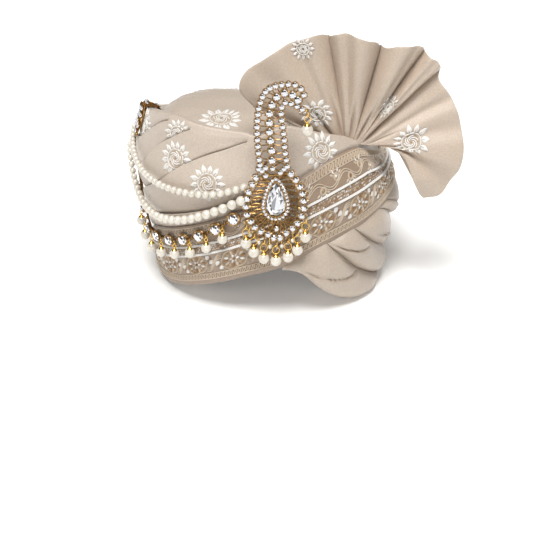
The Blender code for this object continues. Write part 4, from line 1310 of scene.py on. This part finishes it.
def route_points(table, reach, count=160):
    turns = curve([(i, row[0]) for i, row in enumerate(table)])
    heights = curve([(i, row[1]) for i, row in enumerate(table)])
    at = np.linspace(0, len(table) - 1, count)
    return wall_point(turns(at), heights(at), reach)


def spaced(points, sizes):
    """Centres along a route for beads of the given radii, from its start."""
    steps = np.concatenate(([0.0], np.cumsum(np.linalg.norm(np.diff(points, axis=0), axis=1))))
    total = 2 * sum(sizes)
    scale = steps[-1] / total
    centres, at = [], 0.0
    for size in sizes:
        at += size
        centres.append([np.interp(at * scale, steps, points[:, k]) for k in range(3)])
        at += size
    return np.array(centres)


UPPER_STRING = (
    (-88, 0.85), (-82, 0.81), (-75, 0.782), (-67, 0.758), (-60, 0.745), (-52, 0.738),
    (-44, 0.737), (-36, 0.742), (-28, 0.75), (-20, 0.766), (-13, 0.79), (-8, 0.81),
)
LOWER_STRING = (
    (-84, 0.775), (-80.5, 0.66), (-73, 0.59), (-66, 0.55), (-58, 0.538), (-50, 0.538),
    (-42, 0.56), (-34, 0.595), (-26, 0.645), (-18, 0.697), (-12, 0.735), (-8.5, 0.755),
)
STRING_REACH = 7.0 * MM


def pearl_string(name, table, small, large, node):
    points = route_points(table, STRING_REACH + large)
    length = np.linalg.norm(np.diff(points, axis=0), axis=1).sum()
    count = round(length / (small + large))
    sizes = [small + (large - small) * i / (count - 1) for i in range(count)]
    soup = Soup()
    for centre, size in zip(spaced(points, sizes), sizes):
        soup.ball(centre, size * 1.0)
    soup.tube(points[::4], np.array([0, 0, 1.0]), 0.35 * MM, 5)
    piece = soup.build(name, [pearl_look], "pearl", angle=None)
    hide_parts(node)
    return piece


pearl_string("upper_pearls", UPPER_STRING, 2.5 * MM, 3.4 * MM, "pearl_string_upper")
pearl_string("lower_pearls", LOWER_STRING, 2.8 * MM, 4.25 * MM, "pearl_string_lower")

# The brooch: gold settings, cut stones and pearl drops


FORWARD = np.array([0, -1.0, 0])
UPWARD = np.array([0, 0, 1.0])
MEDALLION_PX = (
    (256, 177), (252.4, 183.8), (248.6, 191.4), (247, 198.3), (245.9, 206), (247, 214),
    (250.9, 220.9), (254.7, 226.6), (260.8, 230.8), (268, 233.9), (273.8, 237.3), (280, 237.3),
    (286.3, 232.6), (292.6, 227.9), (297.6, 222.8), (301.8, 215.5), (303.7, 207.9),
    (303.7, 200.2), (302.5, 193), (299.9, 186), (296, 179.2), (291, 173),
)
INNER_PX = ((276.5, 228.2),)
JUNCTION_PX = (
    (258.7, 168), (265.7, 167), (272.7, 167.6), (280.4, 171.8), (287.4, 165.5), (265.7, 175),
    (291.2, 173.8), (262, 170), (284, 168),
)
COLUMN_LEFT_PX = (
    (260, 164), (259.3, 158.5), (258.6, 152), (258, 145.5), (257.5, 139), (257.2, 132.5),
    (257, 126), (257.4, 119.5), (258, 113.4), (258.9, 107.6), (260.6, 101.6), (262.6, 96),
    (265.6, 91), (270, 87.4), (275.6, 85.2), (281.8, 84), (288.4, 83.4), (295.2, 84.2),
    (301, 88.2), (304, 94.2),
)
COLUMN_CENTRE_PX = (
    (272, 159.5), (271.8, 149.6), (270.6, 140), (269.7, 131), (269.5, 121.8), (269.6, 112.8),
    (272, 104.2), (276.8, 96.4), (284.6, 92.4), (292.8, 94.2), (298, 99.4),
)
COLUMN_RIGHT_PX = (
    (286.4, 159), (285.2, 152.4), (284.6, 145.8), (284.2, 139.2), (283.6, 132.6), (282.8, 126),
    (281.8, 119.4), (281.2, 112.8), (281.8, 106.4), (285.4, 101.8), (291.2, 102.8),
    (297.2, 105.6), (302.4, 108.6),
)
brooch_low, brooch_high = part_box("kalgi_brooch")
BROOCH_Y = (brooch_low[1] + brooch_high[1]) / 2
HALO_STONES = 28


def brooch_at(u, v, out=0.0):
    return seen_at(u, v, BROOCH_Y) + FORWARD * out


def setting(gold, stones, centre, facing, upward, radius, tall=1.0, prongs=6, depth=1.7 * MM, sides=8):
    """A cut stone held in a cup with small pointed prongs."""
    right = unit(np.cross(upward, facing))
    up = np.cross(facing, right)
    angle = (np.arange(10)) * 2 * math.pi / 10
    rim = np.cos(angle)[:, None] * right + np.sin(angle)[:, None] * up * tall
    sections = np.array([
        centre + rim * radius * size + facing * out
        for size, out in ((0.55, -depth), (1.0, -0.7 * MM), (1.27, -0.1 * MM), (1.24, 0.2 * MM), (0.9, 0.1 * MM))
    ])
    gold.loft(sections)
    for i in range(prongs):
        turn = (i + 0.5) * 2 * math.pi / prongs
        way = math.cos(turn) * right + math.sin(turn) * up * tall
        root = centre + way * radius * 1.05
        side = unit(np.cross(facing, way)) * radius * 0.24
        tip = centre + way * (radius * 1.2 + 0.75 * MM) + facing * 0.35 * MM
        inner = centre + way * radius * 0.86 + facing * 0.7 * MM
        gold.add(
            [root + side, root - side, tip, inner, root - facing * 0.6 * MM],
            [(0, 2, 3), (3, 2, 1), (0, 3, 1), (0, 4, 2), (1, 2, 4), (0, 1, 4)],
        )
    stones.stone(centre + facing * 0.15 * MM, facing, upward, radius, tall, sides=sides)


def pear(turn, half_width, up, down):
    """Points of a pear outline, its tip at turn 0, in the brooch's plane."""
    turn = np.asarray(turn, float)
    narrow = 1 - 0.42 * ((1 + np.cos(turn)) / 2) ** 1.5
    x = half_width * np.sin(turn) * narrow
    z = np.where(np.cos(turn) > 0, up, down) * np.cos(turn)
    return np.stack((x, np.zeros_like(x), z), -1)


PEAR_CENTRE_PX = (275.7, 202.6)
pear_centre = brooch_at(*PEAR_CENTRE_PX)


def pear_wire(gold, half_width, up, down, radius, out, beads=0):
    turns = np.arange(40) * 2 * math.pi / 40
    ring = pear_centre + pear(turns, half_width, up, down) + FORWARD * out
    gold.tube(ring, FORWARD, radius, 6, closed=True)
    for k in range(beads):
        gold.ball(
            pear_centre + pear(k * 2 * math.pi / beads, half_width, up, down) + FORWARD * (out + radius * 0.5),
            radius * 0.75, 6, 4,
        )


def even_turns(count, half_width, up, down):
    turns = np.linspace(0, 2 * math.pi, 721)
    ring = pear(turns, half_width, up, down)
    steps = np.concatenate(([0], np.cumsum(np.linalg.norm(np.diff(ring, axis=0), axis=1))))
    return np.interp(np.arange(count) * steps[-1] / count, steps, turns)


def brooch():
    gold, stones = Soup(), Soup()
    pear_wire(gold, 10.0 * MM, 19.6 * MM, 12.6 * MM, 0.95 * MM, 1.0 * MM, beads=44)
    pear_wire(gold, 12.7 * MM, 23.4 * MM, 16.0 * MM, 0.65 * MM, 0.2 * MM)
    halo = even_turns(HALO_STONES, 11.5 * MM, 21.6 * MM, 14.6 * MM)
    for turn in halo:
        place = pear_centre + pear(turn, 11.7 * MM, 21.9 * MM, 14.8 * MM) + FORWARD * 1.0 * MM
        away = unit(place - pear_centre)
        setting(gold, stones, place, FORWARD, away, 1.6 * MM, prongs=3, depth=1.2 * MM, sides=6)
    ring = [brooch_at(u, v) for u, v in MEDALLION_PX]
    middle = pear_centre + UPWARD * -1.0 * MM
    loop = np.array(ring)
    gold.tube(loop, FORWARD, 1.0 * MM, 6, closed=True)
    inner_loop = middle + (loop - middle) * 0.84
    gold.tube(inner_loop, FORWARD, 0.5 * MM, 5, closed=True)
    for i, place in enumerate(ring):
        away = unit(place - middle)
        setting(gold, stones, place + FORWARD * 1.3 * MM, FORWARD, away, 2.65 * MM, 1.2, prongs=6)
        reach = np.linalg.norm(place - middle)
        turn = math.atan2(away[0], away[2])
        near = pear_centre + pear(turn, 13.0 * MM, 23.6 * MM, 16.4 * MM)
        far = place - away * 2.2 * MM
        side = unit(np.cross(away, FORWARD))
        if np.dot(far - near, away) < 1.0 * MM:
            continue
        share = np.linspace(0, 1, 7)
        swell = np.sin(share * math.pi)[:, None] * 1.5 * MM
        for sign in (-1, 1):
            petal = near + (far - near) * share[:, None] + side * swell * sign
            gold.tube(petal + FORWARD * 0.4 * MM, FORWARD, 0.55 * MM, 5)
        gold.tube(np.linspace(near, far, 3), FORWARD, 0.3 * MM, 5)
        gold.ball(near + (far - near) * 0.5 + FORWARD * 0.6 * MM, 0.75 * MM, 6, 4)
    for u, v in INNER_PX:
        setting(gold, stones, brooch_at(u, v, 1.4 * MM), FORWARD, -UPWARD, 2.0 * MM, 1.3)
    for u, v in JUNCTION_PX:
        setting(gold, stones, brooch_at(u, v, 1.6 * MM), FORWARD, UPWARD, 2.4 * MM)
    columns = []
    for table, radius in ((COLUMN_LEFT_PX, 2.55), (COLUMN_CENTRE_PX, 3.3), (COLUMN_RIGHT_PX, 2.5)):
        places = np.array([brooch_at(u, v) for u, v in table])
        columns.append(places)
        gold.tube(places, FORWARD, 0.65 * MM, 6)
        for k, place in enumerate(places):
            setting(
                gold, stones, place + FORWARD * 1.5 * MM, FORWARD, UPWARD, radius * MM,
                prongs=8 if radius > 3 else 6,
            )
    left, centre, right = columns
    middle_spots = np.concatenate((centre, (centre[1:] + centre[:-1]) / 2))
    for column in (left, right):
        for place in column[:-1]:
            nearest = middle_spots[np.argmin(np.linalg.norm(middle_spots - place, axis=1))]
            gold.tube(np.linspace(place, nearest, 3), FORWARD, 0.5 * MM, 5)
    for low_place, high_place in zip(centre[:-1], centre[1:]):
        gold.ball((low_place + high_place) / 2 + FORWARD * 0.9 * MM, 1.05 * MM, 8, 6)
    for foot in (left[0], centre[0], right[0]):
        for u, v in ((258.7, 168), (272.7, 167.6), (287.4, 165.5)):
            end = brooch_at(u, v)
            if np.linalg.norm(end - foot) < 14 * MM:
                gold.tube(np.linspace(foot, end, 3), FORWARD, 0.6 * MM, 5)
    for first, last in zip(JUNCTION_PX[:-1], JUNCTION_PX[1:]):
        ends = brooch_at(*first), brooch_at(*last)
        if np.linalg.norm(ends[0] - ends[1]) < 13 * MM:
            gold.tube(np.linspace(*ends, 3), FORWARD, 0.55 * MM, 5)
    for spot in ((265.7, 175), (291.2, 173.8), (280.4, 171.8), (258.7, 168)):
        place = brooch_at(*spot)
        nearest = loop[np.argmin(np.linalg.norm(loop - place, axis=1))]
        gold.tube(np.linspace(place, nearest, 3), FORWARD, 0.55 * MM, 5)
        tip = pear_centre + UPWARD * 23.4 * MM
        gold.tube(np.linspace(place, tip, 3), FORWARD, 0.55 * MM, 5)
    frame_piece = gold.build("brooch_gold", [antique_gold], "gold", angle=50)
    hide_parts("kalgi_brooch")
    stones.build("brooch_stones", PAINTED_REFLECTION_FACETS, "crystal", smooth=False)


def pear_stone():
    """The large pear-cut stone: girdle, two rows of crown facets and a table."""
    soup = Soup()
    count = 16
    turns = even_turns(count, 9.2 * MM, 18.4 * MM, 11.8 * MM)
    halves = (turns + np.roll(turns, -1)) / 2
    halves[-1] = (turns[-1] + 2 * math.pi) / 2
    levels = (
        (turns, 0.9, -0.6), (turns, 1.0, 1.0), (halves, 0.86, 2.1), (turns, 0.66, 3.0), (halves, 0.48, 3.5),
    )
    rings = []
    for at, size, out in levels:
        rings.append(
            pear_centre + pear(at, 9.2 * MM, 18.4 * MM, 11.8 * MM) * size + FORWARD * (out + 0.6) * MM
        )
    points = np.concatenate(rings)
    faces, looks = [], []
    # The pear stone's facets take the fixed tones of painted reflection and painted glint in a mixed order.
    painted_reflection_tones = (0, 1, 3, 2, 0, 3, 1, 0, 2, 3, 1)
    for level in range(4):
        for j in range(count):
            k = (j + 1) % count
            a, b = level * count, (level + 1) * count
            if level % 2 == 0 and level == 0:
                faces.append((a + j, a + k, b + k, b + j))
                looks.append(0)
            elif level % 2 == 1:
                faces += [(a + j, a + k, b + j), (a + k, b + k, b + j)]
                looks += [painted_reflection_tones[(j * 3 + level) % 11], painted_reflection_tones[(j * 5 + 2) % 11]]
            else:
                faces += [(a + j, b + k, b + j), (a + j, a + k, b + k)]
                looks += [painted_reflection_tones[(j * 4 + level) % 11], painted_reflection_tones[(j * 7 + 1) % 11]]
    last = 4 * count
    ring = list(range(last, last + count))
    # The table is cut into faces with a white painted glint and silvery and grey painted reflections; the back takes
    # a dark painted reflection.
    faces.append(tuple(ring[:5]))
    looks.append(3)
    faces.append(tuple([ring[4], ring[5], ring[6], ring[7], ring[8], ring[0]]))
    looks.append(0)
    faces.append(tuple([ring[0]] + ring[8:13]))
    looks.append(1)
    faces.append(tuple([ring[0]] + ring[12:16]))
    looks.append(0)
    faces.append(tuple(reversed(range(count))))
    looks.append(2)
    soup.add(points, faces, looks)
    piece = soup.build("pear_crystal", PAINTED_REFLECTION_FACETS, "crystal", smooth=False)
    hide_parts("centre_stone")


def link_ring(gold, centre, radius, wire, facing, tall=1.0):
    angle = np.arange(12) * 2 * math.pi / 12
    side = unit(np.cross(facing, UPWARD))
    ring = centre + (
        np.cos(angle)[:, None] * side + np.sin(angle)[:, None] * UPWARD * tall
    ) * radius
    gold.tube(ring, facing, wire, 6, closed=True)


def pearl_drop(gold, pearls, node, radius, lower=0.0):
    """A pearl with its cap, bead and links, in the place of its plain solid."""
    low, high = (np.array(corner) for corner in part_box(node))
    centre = np.array([(low[0] + high[0]) / 2, (low[1] + high[1]) / 2, low[2] + radius - lower])
    pearls.ball(centre, radius, 20, 14)
    crest = centre[2] + radius
    axis = centre * np.array([1, 1, 0])
    place = lambda z: axis + np.array([0, 0, z])
    angle = np.arange(10) * 2 * math.pi / 10
    circle = np.stack((np.cos(angle), np.sin(angle), 0 * angle), -1)
    cap = [(0.62, -0.235), (0.60, -0.16), (0.48, -0.04), (0.28, 0.10), (0.16, 0.22)]
    gold.loft(np.array([place(crest + rise * radius) + circle * radius * size for size, rise in cap]))
    gold.ball(place(crest + 0.30 * radius), 0.24 * radius, 10, 8)
    top = high[2]
    room = top - (crest + 0.5 * radius)
    link_ring(gold, place(crest + 0.5 * radius + room * 0.22), room * 0.24, 0.42 * MM, FORWARD, 1.1)
    gold.ball(place(crest + 0.5 * radius + room * 0.52), 0.95 * MM, 8, 6)
    link_ring(gold, place(top - room * 0.22), room * 0.24, 0.42 * MM, np.array([1.0, 0.3, 0]), 1.1)


def drops():
    gold, pearls = Soup(), Soup()
    nodes = [f"kalgi_drop_{i}" for i in range(1, 8)]
    for node in nodes:
        pearl_drop(gold, pearls, node, 4.8 * MM, 4.0 * MM)
    boxes = [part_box(node) for node in nodes]
    for (low, high), (next_low, next_high) in zip(boxes[:-1], boxes[1:]):
        middle = (np.array(low) + high + next_low + next_high) / 4
        place = middle + np.array([0, 2.4 * MM, 1.0 * MM])
        pearls.ball(place, 2.0 * MM, 14, 10)
        top = place + UPWARD * 8.5 * MM
        gold.tube(np.linspace(place + UPWARD * 1.8 * MM, top, 4), FORWARD, 0.4 * MM, 5)
        gold.ball(place + UPWARD * 2.6 * MM, 0.9 * MM, 8, 6)
    pearl_drop(gold, pearls, "tip_drop", 4.9 * MM)
    piece = pearls.build("brooch_pearls", [pearl_look], "pearl", angle=None)
    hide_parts(*nodes, "tip_drop")
    gold.build("brooch_links", [bright_gold], "gold", angle=50)


brooch()
pear_stone()
drops()

# The stone chain and its drops

CHAIN_STONES = (
    # turn, height, radius in mm
    (-82.0, 0.50, 3.6), (-76.0, 0.41, 4.0), (-65.5, 0.345, 4.6), (-54.5, 0.368, 4.7),
    (-44.5, 0.405, 4.8), (-36.0, 0.452, 4.9), (-28.0, 0.506, 4.9), (-20.6, 0.572, 5.0),
    (-13.2, 0.645, 5.2),
)
STRIP = (
    (-94, 0.88), (-94.5, 0.82), (-94.5, 0.74), (-93.5, 0.66), (-92, 0.58), (-89.5, 0.51),
    (-85.5, 0.45), (-80, 0.42),
)
CHAIN_OUT = 7.6 * MM
STRIP_OUT = 8.2 * MM


def stone_chain():
    gold, stones, pearls, links = Soup(), Soup(), Soup(), Soup()
    places = []
    for turn, height, radius in CHAIN_STONES:
        base = wall_point(turn, height, CHAIN_OUT)
        normal = wall_normal(turn, height)
        facing = unit(normal + np.array([0, 0, 0.05]))
        places.append(base)
        setting(
            gold, stones, base + facing * 2.6 * MM, facing, UPWARD, radius * MM * 0.92, prongs=8,
            depth=3.0 * MM, sides=10,
        )
        ring = np.arange(14) * 2 * math.pi / 14
        right = unit(np.cross(UPWARD, facing))
        up = np.cross(facing, right)
        circle = base + facing * 1.2 * MM + (
            np.cos(ring)[:, None] * right + np.sin(ring)[:, None] * up
        ) * radius * MM * 1.08
        gold.tube(circle, facing, 0.6 * MM, 5, closed=True)
    for first, last in zip(places[:-1], places[1:]):
        gap = np.linspace(first, last, 4)
        gold.tube(gap, FORWARD, 0.9 * MM, 6)
        gold.ball((first + last) / 2 + unit((first + last) / 2 * np.array([1, 1, 0])) * 0.8 * MM, 1.5 * MM, 8, 6)
    route_turn = curve([(i, row[0]) for i, row in enumerate(STRIP)])
    route_height = curve([(i, row[1]) for i, row in enumerate(STRIP)])
    at = np.linspace(0, len(STRIP) - 1, 200)
    middle = wall_point(route_turn(at), route_height(at), STRIP_OUT)
    gold.tube(middle[::5], FORWARD, 1.1 * MM, 6, flat=0.6)
    steps = np.concatenate(([0.0], np.cumsum(np.linalg.norm(np.diff(middle, axis=0), axis=1))))
    count = int(steps[-1] / (3.1 * MM))
    for i in range(count):
        share = np.interp((i + 0.5) * 3.1 * MM, steps, at)
        turn, height = float(route_turn(share)), float(route_height(share))
        facing = wall_normal(turn, height)
        along = unit(wall_point(turn, height + 0.03) - wall_point(turn, height - 0.03))
        across = unit(np.cross(facing, along))
        for side in (-1, 1):
            place = wall_point(turn, height, STRIP_OUT + 1.0 * MM) + across * side * 1.75 * MM
            setting(gold, stones, place, facing, along, 1.35 * MM, prongs=4, depth=1.3 * MM, sides=6)
    nodes = [f"chain_drop_{i}" for i in range(1, 9)]
    for node in nodes:
        pearl_drop(links, pearls, node, 4.4 * MM, 3.0 * MM)
    piece = gold.build("chain_gold", [antique_gold], "gold", angle=50)
    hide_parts("stone_chain")
    stones.build("chain_stones", PAINTED_REFLECTION_FACETS, "crystal", smooth=False)
    drop_piece = pearls.build("chain_pearls", [pearl_look], "pearl", angle=None)
    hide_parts(*nodes)
    links.build("chain_links", [bright_gold], "gold", angle=50)


stone_chain()

# The end piece hooked over the wall's edge

CLASP_OUT = 8.0 * MM


def clasp_path(turn, count=15):
    """Points from the end piece's foot up the wall, over its top and down inside."""
    top = float(wall_top(turn))
    rise = np.array([0, 0, 4.2 * MM])
    marks = np.array([
        wall_point(turn, 0.83, CLASP_OUT), wall_point(turn, 0.88, CLASP_OUT),
        wall_point(turn, top - 0.02, CLASP_OUT), wall_point(turn, top, 7.0 * MM) + rise,
        wall_point(turn, top, -LIP_THICKNESS) + rise, wall_point(turn, top - 0.03, -LIP_THICKNESS - 3 * MM) + rise * 0.3,
    ])
    at = np.linspace(0, len(marks) - 1, count)
    return np.stack([curve([(i, mark[k]) for i, mark in enumerate(marks)])(at) for k in range(3)], -1)


def end_piece():
    gold, stones = Soup(), Soup()
    turns = np.linspace(-98.5, -78.5, 13)
    widths = np.linspace(-1, 1, 13)
    paths = np.array([clasp_path(turn) for turn in turns])
    for i, w in enumerate(widths):
        drop = 5.0 * MM * w**2
        paths[i, 0:3, 2] += drop * 0.6
    for k in (0, 5, 9, 14):
        gold.tube(paths[:, k], FORWARD, 0.9 * MM, 6)
    for i in (0, 3, 6, 9, 12):
        gold.tube(paths[i], UPWARD + FORWARD * 0.3, 0.8 * MM, 6)
    sheet_back = paths + 0.0
    outward = unit(np.cross(np.gradient(paths, axis=0), np.gradient(paths, axis=1)))
    if np.mean(np.einsum("ijk,ijk->ij", outward[:, :4], paths[:, :4] - np.array([SHIFT[0], SHIFT[1], 0.1]))) < 0:
        outward = -outward
    inner = sheet_back - outward * 0.7 * MM
    sections = np.concatenate((sheet_back[:, :], inner[:, ::-1]), 1)
    gold.loft(sections, look=1)
    for i in range(1, 12, 2):
        for k in range(1, 13, 2):
            radius = (2.3 if k < 9 else 1.5) * MM
            setting(
                gold, stones, paths[i, k] + outward[i, k] * 1.3 * MM, outward[i, k],
                unit(paths[i, min(k + 1, 14)] - paths[i, k - 1]), radius, prongs=4, depth=1.3 * MM, sides=6,
            )
    for i in range(0, 13):
        for k in (0, 14):
            gold.ball(paths[i, k] + outward[i, k] * 0.5 * MM, 1.15 * MM, 8, 6)
    piece = gold.build("end_piece_gold", [antique_gold, bright_gold], "gold", angle=50)
    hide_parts("end_clasp")
    stones.build("end_piece_stones", PAINTED_REFLECTION_FACETS, "crystal", smooth=False)


end_piece()

# The camera, the floor and the light


def studio():
    aim = Vector((SHIFT[0], SHIFT[1], CAMERA_AIM_Z))
    tilt = math.radians(CAMERA_ELEVATION)
    look = Vector((0, math.cos(tilt), -math.sin(tilt)))
    camera = bpy.data.objects.new("camera", bpy.data.cameras.new("camera"))
    bpy.context.scene.collection.objects.link(camera)
    camera.location = aim - look * CAMERA_DISTANCE
    camera.rotation_euler = look.to_track_quat("-Z", "Y").to_euler()
    camera.data.sensor_width = SENSOR_MM
    camera.data.lens = FOCAL_PX / FRAME_PX * SENSOR_MM
    camera.data.shift_x = (FRAME_PX / 2 - AXIS_PX[0]) / FRAME_PX
    camera.data.shift_y = (AXIS_PX[1] - FRAME_PX / 2) / FRAME_PX
    camera.data.clip_end = 20
    bpy.context.scene.camera = camera
    floor_mesh = bpy.data.meshes.new("floor")
    side = 6.0
    floor_mesh.from_pydata(
        [(-side, -side, 0), (side, -side, 0), (side, side, 0), (-side, side, 0)], [], [(0, 1, 2, 3)],
    )
    floor = bpy.data.objects.new("floor", floor_mesh)
    bpy.context.scene.collection.objects.link(floor)
    floor_mesh.materials.append(material(
        "pale_floor", (0.95, 0.95, 0.94), 0.7, Emission_Color=(1, 1, 1, 1), Emission_Strength=0.16,
    ))
    floor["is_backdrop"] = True
    world = bpy.data.worlds.new("studio")
    bpy.context.scene.world = world
    world.use_nodes = True
    world.node_tree.nodes["Background"].inputs["Color"].default_value = (1.0, 0.96, 0.91, 1)
    world.node_tree.nodes["Background"].inputs["Strength"].default_value = 0.18
    lights = (
        # name, kind, place, size, power
        ("key", "SUN", (-0.1, -0.42, 1.25), 0.5, 3.7),
        ("front", "AREA", (-0.3, -1.3, 0.9), 0.3, 2.2),
    )
    for name, kind, place, size, power in lights:
        data = bpy.data.lights.new(name, kind)
        if kind == "SUN":
            data.angle = size
        else:
            data.size = size
        data.energy = power
        lamp = bpy.data.objects.new(name, data)
        bpy.context.scene.collection.objects.link(lamp)
        lamp.location = place
        lamp.rotation_euler = (aim - Vector(place)).to_track_quat("-Z", "Y").to_euler()
    bpy.context.scene.view_settings.view_transform = "Standard"


studio()

low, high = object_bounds()
({
    "cad": [list(map(float, cad_low)), list(map(float, cad_high))],
    "visual": [list(map(float, low)), list(map(float, high))],
})
